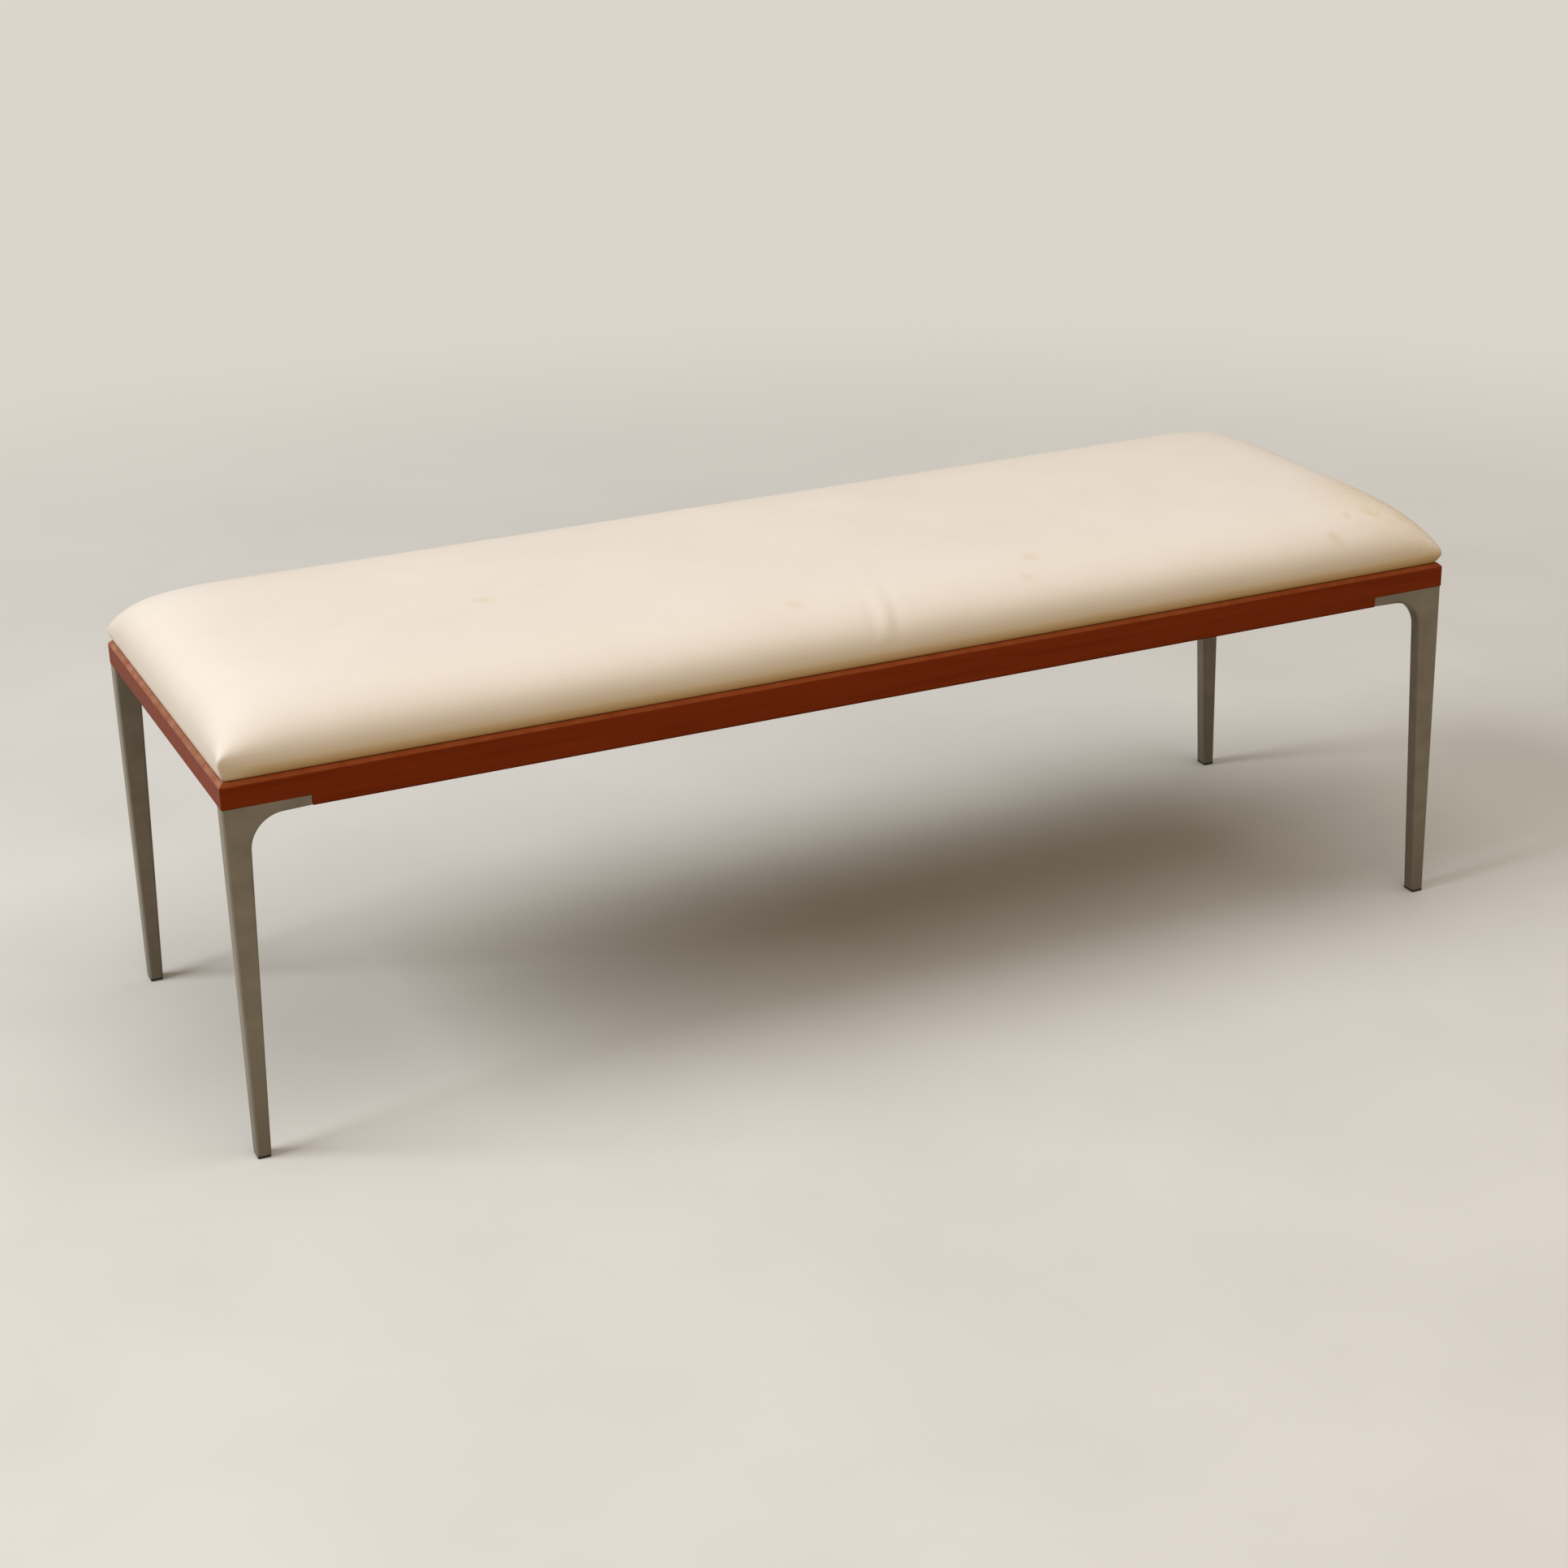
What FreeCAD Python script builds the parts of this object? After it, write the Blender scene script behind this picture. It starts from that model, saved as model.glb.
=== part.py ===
import FreeCAD, Part
import math
import os
import Sketcher

# Upholstered bench: a crowned tight seat on a mitred hardwood frame, carried by four cast legs.
# Frame: origin on the floor under the middle of the bench, X along its length, Z up, front at -Y.

doc = FreeCAD.newDocument("upholstered_bench")
sheet = doc.addObject("Spreadsheet::Sheet", "sizes")

SIZES = [
    # overall
    ("bench_length", 1372, "over the end rails"),
    ("bench_depth", 464, "over the long rails"),
    # wooden frame
    ("rail_thickness", 25, "all four rails"),
    ("end_rail_height", 26, "end rails, and the long rails above the legs"),
    ("long_rail_drop", 10.8, "how far the long rails hang below the end rails"),
    ("rail_chamfer", 3.5, "bevel along the top outer edge"),
    ("spline_length", 16, "along the mitre"),
    ("spline_width", 12, "across the mitre"),
    ("spline_thickness", 4, "loose tongue in the mitre"),
    ("wood_clearance", 0.1, "glue gap around splines and tenons"),
    ("block_size", 85, "corner block along each rail"),
    ("block_nose", 12, "blunt end of a corner block"),
    ("stretcher_width", 70, "cross piece, along X"),
    ("stretcher_thickness", 22, "cross piece, upright"),
    ("stretcher_spacing", 456, "between the two cross pieces"),
    ("tenon_width", 50, "stub tenon of a cross piece, along X"),
    ("tenon_thickness", 10, "stub tenon, upright"),
    ("tenon_length", 14, "stub tenon in the rail"),
    # cast legs
    ("leg_height", 368.5, "floor to the underside of the end rails"),
    ("leg_depth", 18, "across the rail"),
    ("leg_top_width", 26.5, "along the rail, at the arm"),
    ("leg_foot_width", 14.4, "along the rail, at the foot"),
    ("leg_fillet", 35, "inside corner between leg and arm"),
    ("leg_edge_bevel", 2, "soft cast edges"),
    ("arm_length", 87, "arm tip, from the end of the bench"),
    ("arm_root_swell", 2, "extra thickness of the arm at the leg"),
    ("arm_clearance", 0.2, "between arm tip and rail"),
    ("flange_thickness", 6, "corner flange under the corner block"),
    ("flange_inset", 8, "flange edge behind the outer faces"),
    ("flange_nose", 6, "blunt end of the flange past the rail"),
    # glides
    ("glide_height", 3, "under the foot"),
    ("glide_margin", 0.8, "glide inside the foot's outline"),
    ("glide_bevel", 0.6, "edge that meets the floor"),
    ("stem_width", 6, "square glide stem in the foot"),
    ("stem_length", 10, "glide stem in the foot"),
    ("stem_clearance", 0.1, "around the stem"),
    # wood screws
    ("shank_diameter", 4.8, "all screws"),
    ("head_diameter", 9, "pan head"),
    ("head_height", 3.2, "pan head"),
    ("point_length", 4, "tapered point"),
    ("screw_clearance", 0.15, "around a shank"),
    ("leg_screw_length", 24, "under the head"),
    ("flange_screw_margin", 28, "back from the arm's tip"),
    ("flange_screw_offset", 11, "in from the rail's inner face"),
    ("deck_screw_length", 36, "under the head"),
    ("deck_screw_margin", 6, "back from the middle of the block's long face"),
    # upholstered seat
    ("cover_thickness", 1.2, "seat cover"),
    ("hem_width", 38, "cover turned under the deck"),
    ("deck_thickness", 12, "plywood"),
    ("dust_cover_thickness", 0.5, "cloth under the deck"),
    ("dust_corner", 55, "clipped corner of the cloth, clear of the deck screw"),
    ("wadding_thickness", 6, "over the foam"),
    ("layer_gap", 0.3, "between soft layers"),
    ("seat_crown", 71, "crown above the rails"),
    ("seat_inset", 2.4, "widest edge behind the rails' outer faces"),
    ("roll_height", 10.4, "height of the rolled lower edge"),
    ("roll_inset", 6, "how far the lower edge rolls under"),
    ("crown_flat_width", 122, "level top between the crowned sides"),
    ("corner_radius", 12, "seat corner in plan, at its widest"),
    ("top_corner_radius", 52, "seat corner in plan, on the level top"),
    ("least_radius", 2, "smallest corner of an inner layer"),
]

for row, (alias, amount, note) in enumerate(SIZES, start=1):
    sheet.set(f"A{row}", alias)
    sheet.set(f"B{row}", str(amount))
    sheet.set(f"C{row}", note)
    sheet.setAlias(f"B{row}", alias)
doc.recompute()

# Shared places, written as expressions of the sizes above.
FRAME_BOTTOM = "sizes.leg_height"
RAIL_TOP = "(sizes.leg_height + sizes.end_rail_height)"
DECK_BOTTOM = f"({RAIL_TOP} + sizes.cover_thickness)"
DECK_TOP = f"({DECK_BOTTOM} + sizes.deck_thickness)"
EQUATOR = f"({RAIL_TOP} + sizes.roll_height)"
SEAT_TOP = f"({RAIL_TOP} + sizes.seat_crown)"
SCREW_SEAT = "(sizes.leg_height - sizes.flange_thickness)"
HEM_EDGE = "(sizes.seat_inset + sizes.roll_inset + sizes.hem_width)"
CROWN_REACH = "(sizes.bench_depth / 2 - sizes.seat_inset - sizes.crown_flat_width / 2)"
MID_RAIL = "(sizes.leg_height + sizes.end_rail_height / 2)"
# How deep each soft layer lies under the outside of the cover.
COVER_INSIDE = "sizes.cover_thickness"
WADDING_OUTSIDE = "(sizes.cover_thickness + sizes.layer_gap)"
WADDING_INSIDE = "(sizes.cover_thickness + sizes.roll_inset)"
DECK_EDGE = "(sizes.cover_thickness + sizes.roll_inset + sizes.layer_gap)"
FOAM_TOP = f"({SEAT_TOP} - {WADDING_OUTSIDE} - sizes.wadding_thickness)"


def from_left(distance):
    return f"(-sizes.bench_length / 2 + {distance})"


def from_right(distance):
    return f"(sizes.bench_length / 2 - {distance})"


def from_front(distance):
    return f"(-sizes.bench_depth / 2 + {distance})"


def number(expression):
    return float(sheet.evalExpression(expression))


def bind(item, **expressions):
    for name, expression in expressions.items():
        item.setExpression(name, expression)
    return item


def put(item, x="0", y="0", z="0", rotation=FreeCAD.Rotation()):
    item.Placement = FreeCAD.Placement(FreeCAD.Vector(), rotation)
    for axis, expression in zip("xyz", (x, y, z)):
        item.setExpression(f".Placement.Base.{axis}", expression)
    return item


def new_body(label):
    body = doc.addObject("PartDesign::Body", label)
    body.Label = label
    return body


def origin_plane(body, role):
    return next(feature for feature in body.Origin.OriginFeatures if feature.Role == role)


def new_sketch(body, role, offset="0"):
    sketch = body.newObject("Sketcher::SketchObject", "sketch")
    sketch.AttachmentSupport = [(origin_plane(body, role), "")]
    sketch.MapMode = "FlatFace"
    sketch.setExpression("AttachmentOffset.Base.z", offset)
    return sketch


def size_constraint(sketch, *args, expression):
    index = sketch.addConstraint(Sketcher.Constraint(*args, number(expression)))
    sketch.setExpression(f"Constraints[{index}]", expression)


def add_polygon(sketch, corners):
    """A closed outline whose corners are pairs of expressions."""
    points = [FreeCAD.Vector(number(x), number(y), 0) for x, y in corners]
    first = sketch.GeometryCount
    count = len(points)
    for i in range(count):
        sketch.addGeometry(Part.LineSegment(points[i], points[(i + 1) % count]))
    for i in range(count):
        sketch.addConstraint(Sketcher.Constraint("Coincident", first + i, 2, first + (i + 1) % count, 1))
    for i, (x, y) in enumerate(corners):
        size_constraint(sketch, "DistanceX", -1, 1, first + i, 1, expression=x)
        size_constraint(sketch, "DistanceY", -1, 1, first + i, 1, expression=y)


def add_rounded_rectangle(sketch, half_x, half_y, radius):
    """Four lines and four quarter arcs, centred on the sketch's origin."""
    a, b, r = number(half_x), number(half_y), number(radius)
    turns = [(a - r, r - b, -90), (a - r, b - r, 0), (r - a, b - r, 90), (r - a, r - b, 180)]
    up = FreeCAD.Vector(0, 0, 1)
    for x, y, start in turns:
        begin = math.radians(start)
        circle = Part.Circle(FreeCAD.Vector(x, y, 0), up, r)
        arc = Part.ArcOfCircle(circle, begin, begin + math.pi / 2)
        sketch.addGeometry(arc)
    for i in range(4):
        end = sketch.Geometry[i].EndPoint
        begin = sketch.Geometry[(i + 1) % 4].StartPoint
        sketch.addGeometry(Part.LineSegment(end, begin))
    for i in range(4):
        line = 4 + i
        sketch.addConstraint(Sketcher.Constraint("Tangent", i, 2, line, 1))
        sketch.addConstraint(Sketcher.Constraint("Tangent", line, 2, (i + 1) % 4, 1))
        sketch.addConstraint(Sketcher.Constraint("Vertical" if i % 2 == 0 else "Horizontal", line))
    for i in range(1, 4):
        sketch.addConstraint(Sketcher.Constraint("Equal", 0, i))
    sketch.addConstraint(Sketcher.Constraint("Symmetric", 1, 3, 3, 3, -1, 1))
    size_constraint(sketch, "DistanceX", -1, 1, 1, 3, expression=f"{half_x} - {radius}")
    size_constraint(sketch, "DistanceY", -1, 1, 1, 3, expression=f"{half_y} - {radius}")
    size_constraint(sketch, "Radius", 1, expression=radius)


def add_pad(body, sketch, length, symmetric=False):
    pad = body.newObject("PartDesign::Pad", "pad")
    pad.Profile = sketch
    pad.SideType = "Symmetric" if symmetric else "One side"
    return bind(pad, Length=length)


def add_through_pocket(body, sketch):
    pocket = body.newObject("PartDesign::Pocket", "pocket")
    pocket.Profile = sketch
    pocket.Type = "ThroughAll"
    pocket.SideType = "Symmetric"
    return pocket


def dress_edges(body, kind, wanted, size):
    """A fillet or chamfer on every edge of the body that the test accepts."""
    doc.recompute()
    base = body.Tip
    names = [f"Edge{i}" for i, edge in enumerate(base.Shape.Edges, start=1) if wanted(edge)]
    feature = body.newObject(f"PartDesign::{kind}", kind.lower())
    feature.Base = (base, names)
    feature.setExpression("Radius" if kind == "Fillet" else "Size", size)
    return feature


def lies_at(edge, x=None, y=None, z=None):
    """True when every vertex of the edge has the given coordinates."""
    for vertex in edge.Vertexes:
        for have, want in ((vertex.X, x), (vertex.Y, y), (vertex.Z, z)):
            if want is not None and abs(have - want) > 0.001:
                return False
    return True


def compound(label, pieces):
    group = doc.addObject("Part::Compound", label)
    group.Label = label
    group.Links = pieces
    return group


def mirrored(label, source, across):
    """The mirror image across the plane square to X or Y through the bench's middle."""
    image = doc.addObject("Part::Mirroring", label)
    image.Label = label
    image.Source = source
    image.Normal = FreeCAD.Vector(1, 0, 0) if across == "X" else FreeCAD.Vector(0, 1, 0)
    return image


def four_corners(label, quarter):
    """One group of solids from what the front left quarter holds."""
    front_left = compound(f"{label}_front_left", quarter)
    front_right = mirrored(f"{label}_front_right", front_left, "X")
    back_left = mirrored(f"{label}_back_left", front_left, "Y")
    back_right = mirrored(f"{label}_back_right", front_right, "Y")
    return compound(label, [front_left, front_right, back_left, back_right])


def cut(label, base, tool):
    piece = doc.addObject("Part::Cut", label)
    piece.Label = label
    piece.Base = base
    piece.Tool = tool
    return piece


# Joints. Each form is modelled for the front left quarter; the drills are the same forms with their
# clearance, and cut every hole, so a hole always follows what goes into it.

def turned_screw(label, length):
    """A pan-head wood screw turned about its own axis, with its head's seat at height 0."""
    head_radius = "sizes.head_diameter / 2"
    shank_radius = "sizes.shank_diameter / 2"
    body = new_body(label)
    sketch = new_sketch(body, "XZ_Plane")
    add_polygon(sketch, [
        ("0", "-sizes.head_height"),
        (head_radius, "-sizes.head_height"),
        (head_radius, "0"),
        (shank_radius, "0"),
        (shank_radius, f"{length} - sizes.point_length"),
        ("0", length),
    ])
    turn = body.newObject("PartDesign::Revolution", "turn")
    turn.Profile = sketch
    turn.ReferenceAxis = (sketch, ["V_Axis"])
    turn.Angle = 360
    return body


def screw_hole(label, length):
    """A plain hole for the shank, from the head's seat to just past the point."""
    hole = doc.addObject("Part::Cylinder", label)
    radius = "sizes.shank_diameter / 2 + sizes.screw_clearance"
    return bind(hole, Radius=radius, Height=f"{length} + sizes.screw_clearance")


FLANGE_SCREW_LONG = "(sizes.arm_length - sizes.flange_screw_margin)"
FLANGE_SCREW_SHORT = "(sizes.rail_thickness + sizes.flange_screw_offset)"
DECK_SCREW_SPOT = (
    "(sizes.rail_thickness + (sizes.block_size + sizes.block_nose) / 2 - sizes.deck_screw_margin)"
)
STRETCHER_MIDDLE = "(-sizes.stretcher_spacing / 2)"

SCREWS = [
    ("leg_screws", "sizes.leg_screw_length", [
        (from_left(FLANGE_SCREW_LONG), from_front(FLANGE_SCREW_SHORT), SCREW_SEAT),
        (from_left(FLANGE_SCREW_SHORT), from_front(FLANGE_SCREW_LONG), SCREW_SEAT),
    ]),
    ("deck_screws", "sizes.deck_screw_length", [
        (from_left(DECK_SCREW_SPOT), from_front(DECK_SCREW_SPOT), FRAME_BOTTOM),
    ]),
]

nodes = []
drills = []
for label, length, spots in SCREWS:
    quarter = []
    for i, (x, y, z) in enumerate(spots, start=1):
        quarter.append(put(turned_screw(f"{label}_{i}", length), x, y, z))
        drills.append(put(screw_hole(f"{label}_hole_{i}", length), x, y, z))
    nodes.append(four_corners(label, quarter))


def spline(label, gap="0"):
    """A flat tongue that lies across the mitre at mid height."""
    tongue = doc.addObject("Part::Box", label)
    bind(
        tongue,
        Length=f"sizes.spline_length + 2 * {gap}",
        Width=f"sizes.spline_width + 2 * {gap}",
        Height=f"sizes.spline_thickness + 2 * {gap}",
    )
    along = f"(sizes.spline_length / 2 + {gap})"
    across = f"(sizes.spline_width / 2 + {gap})"
    x = from_left(f"sizes.rail_thickness / 2 - ({along} - {across}) / sqrt(2)")
    y = from_front(f"sizes.rail_thickness / 2 - ({along} + {across}) / sqrt(2)")
    z = f"{MID_RAIL} - sizes.spline_thickness / 2 - {gap}"
    return put(tongue, x, y, z, FreeCAD.Rotation(FreeCAD.Vector(0, 0, 1), 45))


nodes.append(four_corners("mitre_splines", [spline("spline")]))
drills.append(spline("spline_slot", "sizes.wood_clearance"))

# Mortise for a cross piece's stub tenon, in the long rail.
TENON_BOTTOM = f"({RAIL_TOP} - (sizes.stretcher_thickness + sizes.tenon_thickness) / 2)"
mortise = doc.addObject("Part::Box", "mortise")
bind(
    mortise,
    Length="sizes.tenon_width + 2 * sizes.wood_clearance",
    Width="sizes.tenon_length + sizes.wood_clearance",
    Height="sizes.tenon_thickness + 2 * sizes.wood_clearance",
)
put(
    mortise,
    f"{STRETCHER_MIDDLE} - sizes.tenon_width / 2 - sizes.wood_clearance",
    from_front("sizes.rail_thickness - sizes.tenon_length - sizes.wood_clearance"),
    f"{TENON_BOTTOM} - sizes.wood_clearance",
)
drills.append(mortise)

# Square socket in the foot, which keeps the glide from turning.
SOCKET_WIDTH = "(sizes.stem_width + 2 * sizes.stem_clearance)"
socket = doc.addObject("Part::Box", "socket")
bind(
    socket,
    Length=SOCKET_WIDTH,
    Width=SOCKET_WIDTH,
    Height="sizes.stem_length + sizes.stem_clearance",
)
put(
    socket,
    from_left(f"(sizes.leg_foot_width - {SOCKET_WIDTH}) / 2"),
    from_front(f"(sizes.leg_depth - {SOCKET_WIDTH}) / 2"),
    "sizes.glide_height",
)
drills.append(socket)
drillings = four_corners("drillings", drills)


# Wooden frame: four mitred rails, each a plan outline padded to its height and bevelled on top.

def mitred_rail(label, corners, bottom, height, on_face):
    body = new_body(label)
    plan = new_sketch(body, "XY_Plane", bottom)
    add_polygon(plan, corners)
    add_pad(body, plan, height)
    top = number(RAIL_TOP)
    dress_edges(body, "Chamfer", lambda edge: lies_at(edge, z=top) and on_face(edge), "sizes.rail_chamfer")
    return body


front_y = number(from_front("0"))
left_x = number(from_left("0"))

front_blank = mitred_rail(
    "front_rail_blank",
    [
        (from_left("0"), from_front("0")),
        (from_right("0"), from_front("0")),
        (from_right("sizes.rail_thickness"), from_front("sizes.rail_thickness")),
        (from_left("sizes.rail_thickness"), from_front("sizes.rail_thickness")),
    ],
    f"{FRAME_BOTTOM} - sizes.long_rail_drop",
    "sizes.end_rail_height + sizes.long_rail_drop",
    lambda edge: lies_at(edge, y=front_y),
)
# The underside is cut away at both ends, where the legs' arms lie.
cut_away = new_sketch(front_blank, "XZ_Plane")
ARM_POCKET = "(sizes.arm_length + sizes.arm_clearance)"
for place in (from_left, from_right):
    add_polygon(cut_away, [
        (place("0"), f"{FRAME_BOTTOM} - sizes.long_rail_drop"),
        (place(ARM_POCKET), f"{FRAME_BOTTOM} - sizes.long_rail_drop"),
        (place(ARM_POCKET), FRAME_BOTTOM),
        (place("0"), FRAME_BOTTOM),
    ])
add_through_pocket(front_blank, cut_away)
front_rail = cut("front_rail", front_blank, drillings)
nodes += [front_rail, mirrored("back_rail", front_rail, "Y")]

end_blank = mitred_rail(
    "left_end_rail_blank",
    [
        (from_left("0"), from_front("0")),
        (from_left("sizes.rail_thickness"), from_front("sizes.rail_thickness")),
        (from_left("sizes.rail_thickness"), "sizes.bench_depth / 2 - sizes.rail_thickness"),
        (from_left("0"), "sizes.bench_depth / 2"),
    ],
    FRAME_BOTTOM,
    "sizes.end_rail_height",
    lambda edge: lies_at(edge, x=left_x),
)
left_end_rail = cut("left_end_rail", end_blank, drillings)
nodes += [left_end_rail, mirrored("right_end_rail", left_end_rail, "X")]


def at_each_corner(name, front_left):
    """Four separate pieces from the front left one."""
    front_left.Label = f"{name}_front_left"
    front_right = mirrored(f"{name}_front_right", front_left, "X")
    back_left = mirrored(f"{name}_back_left", front_left, "Y")
    back_right = mirrored(f"{name}_back_right", front_right, "Y")
    nodes.extend([front_left, front_right, back_left, back_right])


# Corner block: a triangle with blunt ends, glued into the frame's corner.
block = new_body("corner_block_blank")
block_plan = new_sketch(block, "XY_Plane", FRAME_BOTTOM)
BLOCK_NEAR = "sizes.rail_thickness"
BLOCK_NOSE = "(sizes.rail_thickness + sizes.block_nose)"
BLOCK_FAR = "(sizes.rail_thickness + sizes.block_size)"
add_polygon(block_plan, [
    (from_left(BLOCK_NEAR), from_front(BLOCK_NEAR)),
    (from_left(BLOCK_FAR), from_front(BLOCK_NEAR)),
    (from_left(BLOCK_FAR), from_front(BLOCK_NOSE)),
    (from_left(BLOCK_NOSE), from_front(BLOCK_FAR)),
    (from_left(BLOCK_NEAR), from_front(BLOCK_FAR)),
])
add_pad(block, block_plan, "sizes.end_rail_height")
at_each_corner("corner_block", cut("corner_block", block, drillings))

# Cross piece between the long rails, under the deck, with a stub tenon at each end.
stretcher = new_body("stretcher_left")


def add_cross_layer(bottom, width, half_run, thickness):
    """A level block of the cross piece, as wide and as long as given."""
    plan = new_sketch(stretcher, "XY_Plane", bottom)
    left = f"({STRETCHER_MIDDLE} - {width} / 2)"
    right = f"({STRETCHER_MIDDLE} + {width} / 2)"
    add_polygon(plan, [
        (left, f"-{half_run}"),
        (right, f"-{half_run}"),
        (right, half_run),
        (left, half_run),
    ])
    add_pad(stretcher, plan, thickness)


HALF_CLEAR = "(sizes.bench_depth / 2 - sizes.rail_thickness)"
add_cross_layer(
    f"{RAIL_TOP} - sizes.stretcher_thickness",
    "sizes.stretcher_width",
    HALF_CLEAR,
    "sizes.stretcher_thickness",
)
add_cross_layer(TENON_BOTTOM, "sizes.tenon_width", f"({HALF_CLEAR} + sizes.tenon_length)", "sizes.tenon_thickness")
nodes += [stretcher, mirrored("stretcher_right", stretcher, "X")]

# Cast leg: a tapered L with a large inside fillet and soft edges, and a flange hidden in the corner.
leg = new_body("leg_blank")
ARM_ROOT = f"({FRAME_BOTTOM} - sizes.long_rail_drop - sizes.arm_root_swell)"
leg_side = new_sketch(leg, "XZ_Plane", "sizes.bench_depth / 2 - sizes.leg_depth")
add_polygon(leg_side, [
    (from_left("0"), "sizes.glide_height"),
    (from_left("sizes.leg_foot_width"), "sizes.glide_height"),
    (from_left("sizes.leg_top_width"), ARM_ROOT),
    (from_left("sizes.arm_length"), f"{FRAME_BOTTOM} - sizes.long_rail_drop"),
    (from_left("sizes.arm_length"), FRAME_BOTTOM),
    (from_left("0"), FRAME_BOTTOM),
])
add_pad(leg, leg_side, "sizes.leg_depth")
inner_x, inner_z = number(from_left("sizes.leg_top_width")), number(ARM_ROOT)
dress_edges(leg, "Fillet", lambda edge: lies_at(edge, x=inner_x, z=inner_z), "sizes.leg_fillet")
leg_back_y = number(from_front("sizes.leg_depth"))
foot_z, leg_top_z = number("sizes.glide_height"), number(FRAME_BOTTOM)
arm_tip_x = number(from_left("sizes.arm_length"))


def is_cast_edge(edge):
    """The long edges of the front and back faces, without the foot, the top and the arm's tip."""
    on_side = lies_at(edge, y=front_y) or lies_at(edge, y=leg_back_y)
    is_end = lies_at(edge, z=foot_z) or lies_at(edge, z=leg_top_z) or lies_at(edge, x=arm_tip_x)
    return on_side and not is_end


dress_edges(leg, "Chamfer", is_cast_edge, "sizes.leg_edge_bevel")
flange_plan = new_sketch(leg, "XY_Plane", SCREW_SEAT)
FLANGE_ROOT = "(sizes.leg_depth - sizes.leg_edge_bevel)"
FLANGE_NOSE = "(sizes.rail_thickness + sizes.flange_nose)"
add_polygon(flange_plan, [
    (from_left("sizes.flange_inset"), from_front(FLANGE_ROOT)),
    (from_left("sizes.arm_length"), from_front(FLANGE_ROOT)),
    (from_left("sizes.arm_length"), from_front(FLANGE_NOSE)),
    (from_left(FLANGE_NOSE), from_front("sizes.arm_length")),
    (from_left("sizes.flange_inset"), from_front("sizes.arm_length")),
])
add_pad(leg, flange_plan, "sizes.flange_thickness")
at_each_corner("leg", cut("leg", leg, drillings))

# Nylon glide with a square stem pressed into the foot.
glide = new_body("glide")


def foot_rectangle(margin_x, margin_y):
    """A rectangle in plan, as far inside the foot's outline as the margins say."""
    near_x, near_y = from_left(margin_x), from_front(margin_y)
    far_x = from_left(f"(sizes.leg_foot_width - {margin_x})")
    far_y = from_front(f"(sizes.leg_depth - {margin_y})")
    return [(near_x, near_y), (far_x, near_y), (far_x, far_y), (near_x, far_y)]


pad_plan = new_sketch(glide, "XY_Plane")
add_polygon(pad_plan, foot_rectangle("sizes.glide_margin", "sizes.glide_margin"))
add_pad(glide, pad_plan, "sizes.glide_height")
dress_edges(glide, "Chamfer", lambda edge: lies_at(edge, z=0), "sizes.glide_bevel")
stem_plan = new_sketch(glide, "XY_Plane", "sizes.glide_height")
stem_margins = ("(sizes.leg_foot_width - sizes.stem_width) / 2", "(sizes.leg_depth - sizes.stem_width) / 2")
add_polygon(stem_plan, foot_rectangle(*stem_margins))
add_pad(glide, stem_plan, "sizes.stem_length")
at_each_corner("glide", glide)


# Deck and dust cover. The corners of the soft layers get rounder quickly as the crown rises.
CORNER_POWER = 0.4


def half_length(inset):
    return f"(sizes.bench_length / 2 - {inset})"


def half_depth(inset):
    return f"(sizes.bench_depth / 2 - {inset})"


def rectangle(inset):
    x, y = half_length(inset), half_depth(inset)
    return [(f"-{x}", f"-{y}"), (x, f"-{y}"), (x, y), (f"-{x}", y)]


def add_layer_outline(sketch, depth, share=0.0, tuck="0"):
    """The seat's outline in plan at some depth under its cover, and a share of the way up its crown."""
    inset = f"(sizes.seat_inset + {depth} + {CROWN_REACH} * {share:.5f} + {tuck})"
    softened = f"(sizes.top_corner_radius - sizes.corner_radius) * {share ** CORNER_POWER:.5f}"
    radius = f"max(sizes.corner_radius + {softened} - {depth}; sizes.least_radius)"
    add_rounded_rectangle(sketch, half_length(inset), half_depth(inset), radius)


deck_blank = new_body("deck_blank")
deck_plan = new_sketch(deck_blank, "XY_Plane", DECK_BOTTOM)
add_layer_outline(deck_plan, DECK_EDGE)
add_pad(deck_blank, deck_plan, "sizes.deck_thickness")
nodes.append(cut("seat_deck", deck_blank, drillings))

dust_cover = new_body("dust_cover")
dust_plan = new_sketch(dust_cover, "XY_Plane", f"{DECK_BOTTOM} - sizes.dust_cover_thickness")
DUST_EDGE = f"({HEM_EDGE} + sizes.layer_gap)"
DUST_CORNER = f"({DUST_EDGE} + sizes.dust_corner)"
dust_x, dust_y = half_length(DUST_EDGE), half_depth(DUST_EDGE)
clipped_x, clipped_y = half_length(DUST_CORNER), half_depth(DUST_CORNER)
add_polygon(dust_plan, [
    (f"-{clipped_x}", f"-{dust_y}"),
    (clipped_x, f"-{dust_y}"),
    (dust_x, f"-{clipped_y}"),
    (dust_x, clipped_y),
    (clipped_x, dust_y),
    (f"-{clipped_x}", dust_y),
    (f"-{dust_x}", clipped_y),
    (f"-{dust_x}", f"-{clipped_y}"),
])
add_pad(dust_cover, dust_plan, "sizes.dust_cover_thickness")
nodes.append(dust_cover)

# Soft layers. Each is a ruled loft through level rounded rectangles that shrink towards the crown:
# the further in from the edge, the higher, along one superellipse, and the rounder the corners.
CROWN_STEPS = 7
INNER_STEPS = 5
STEP_POWER = 2.2
SIDE_POWER = 3.35
TOP_POWER = 2.6
ROLL_ANGLES = (90, 60, 30)


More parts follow.
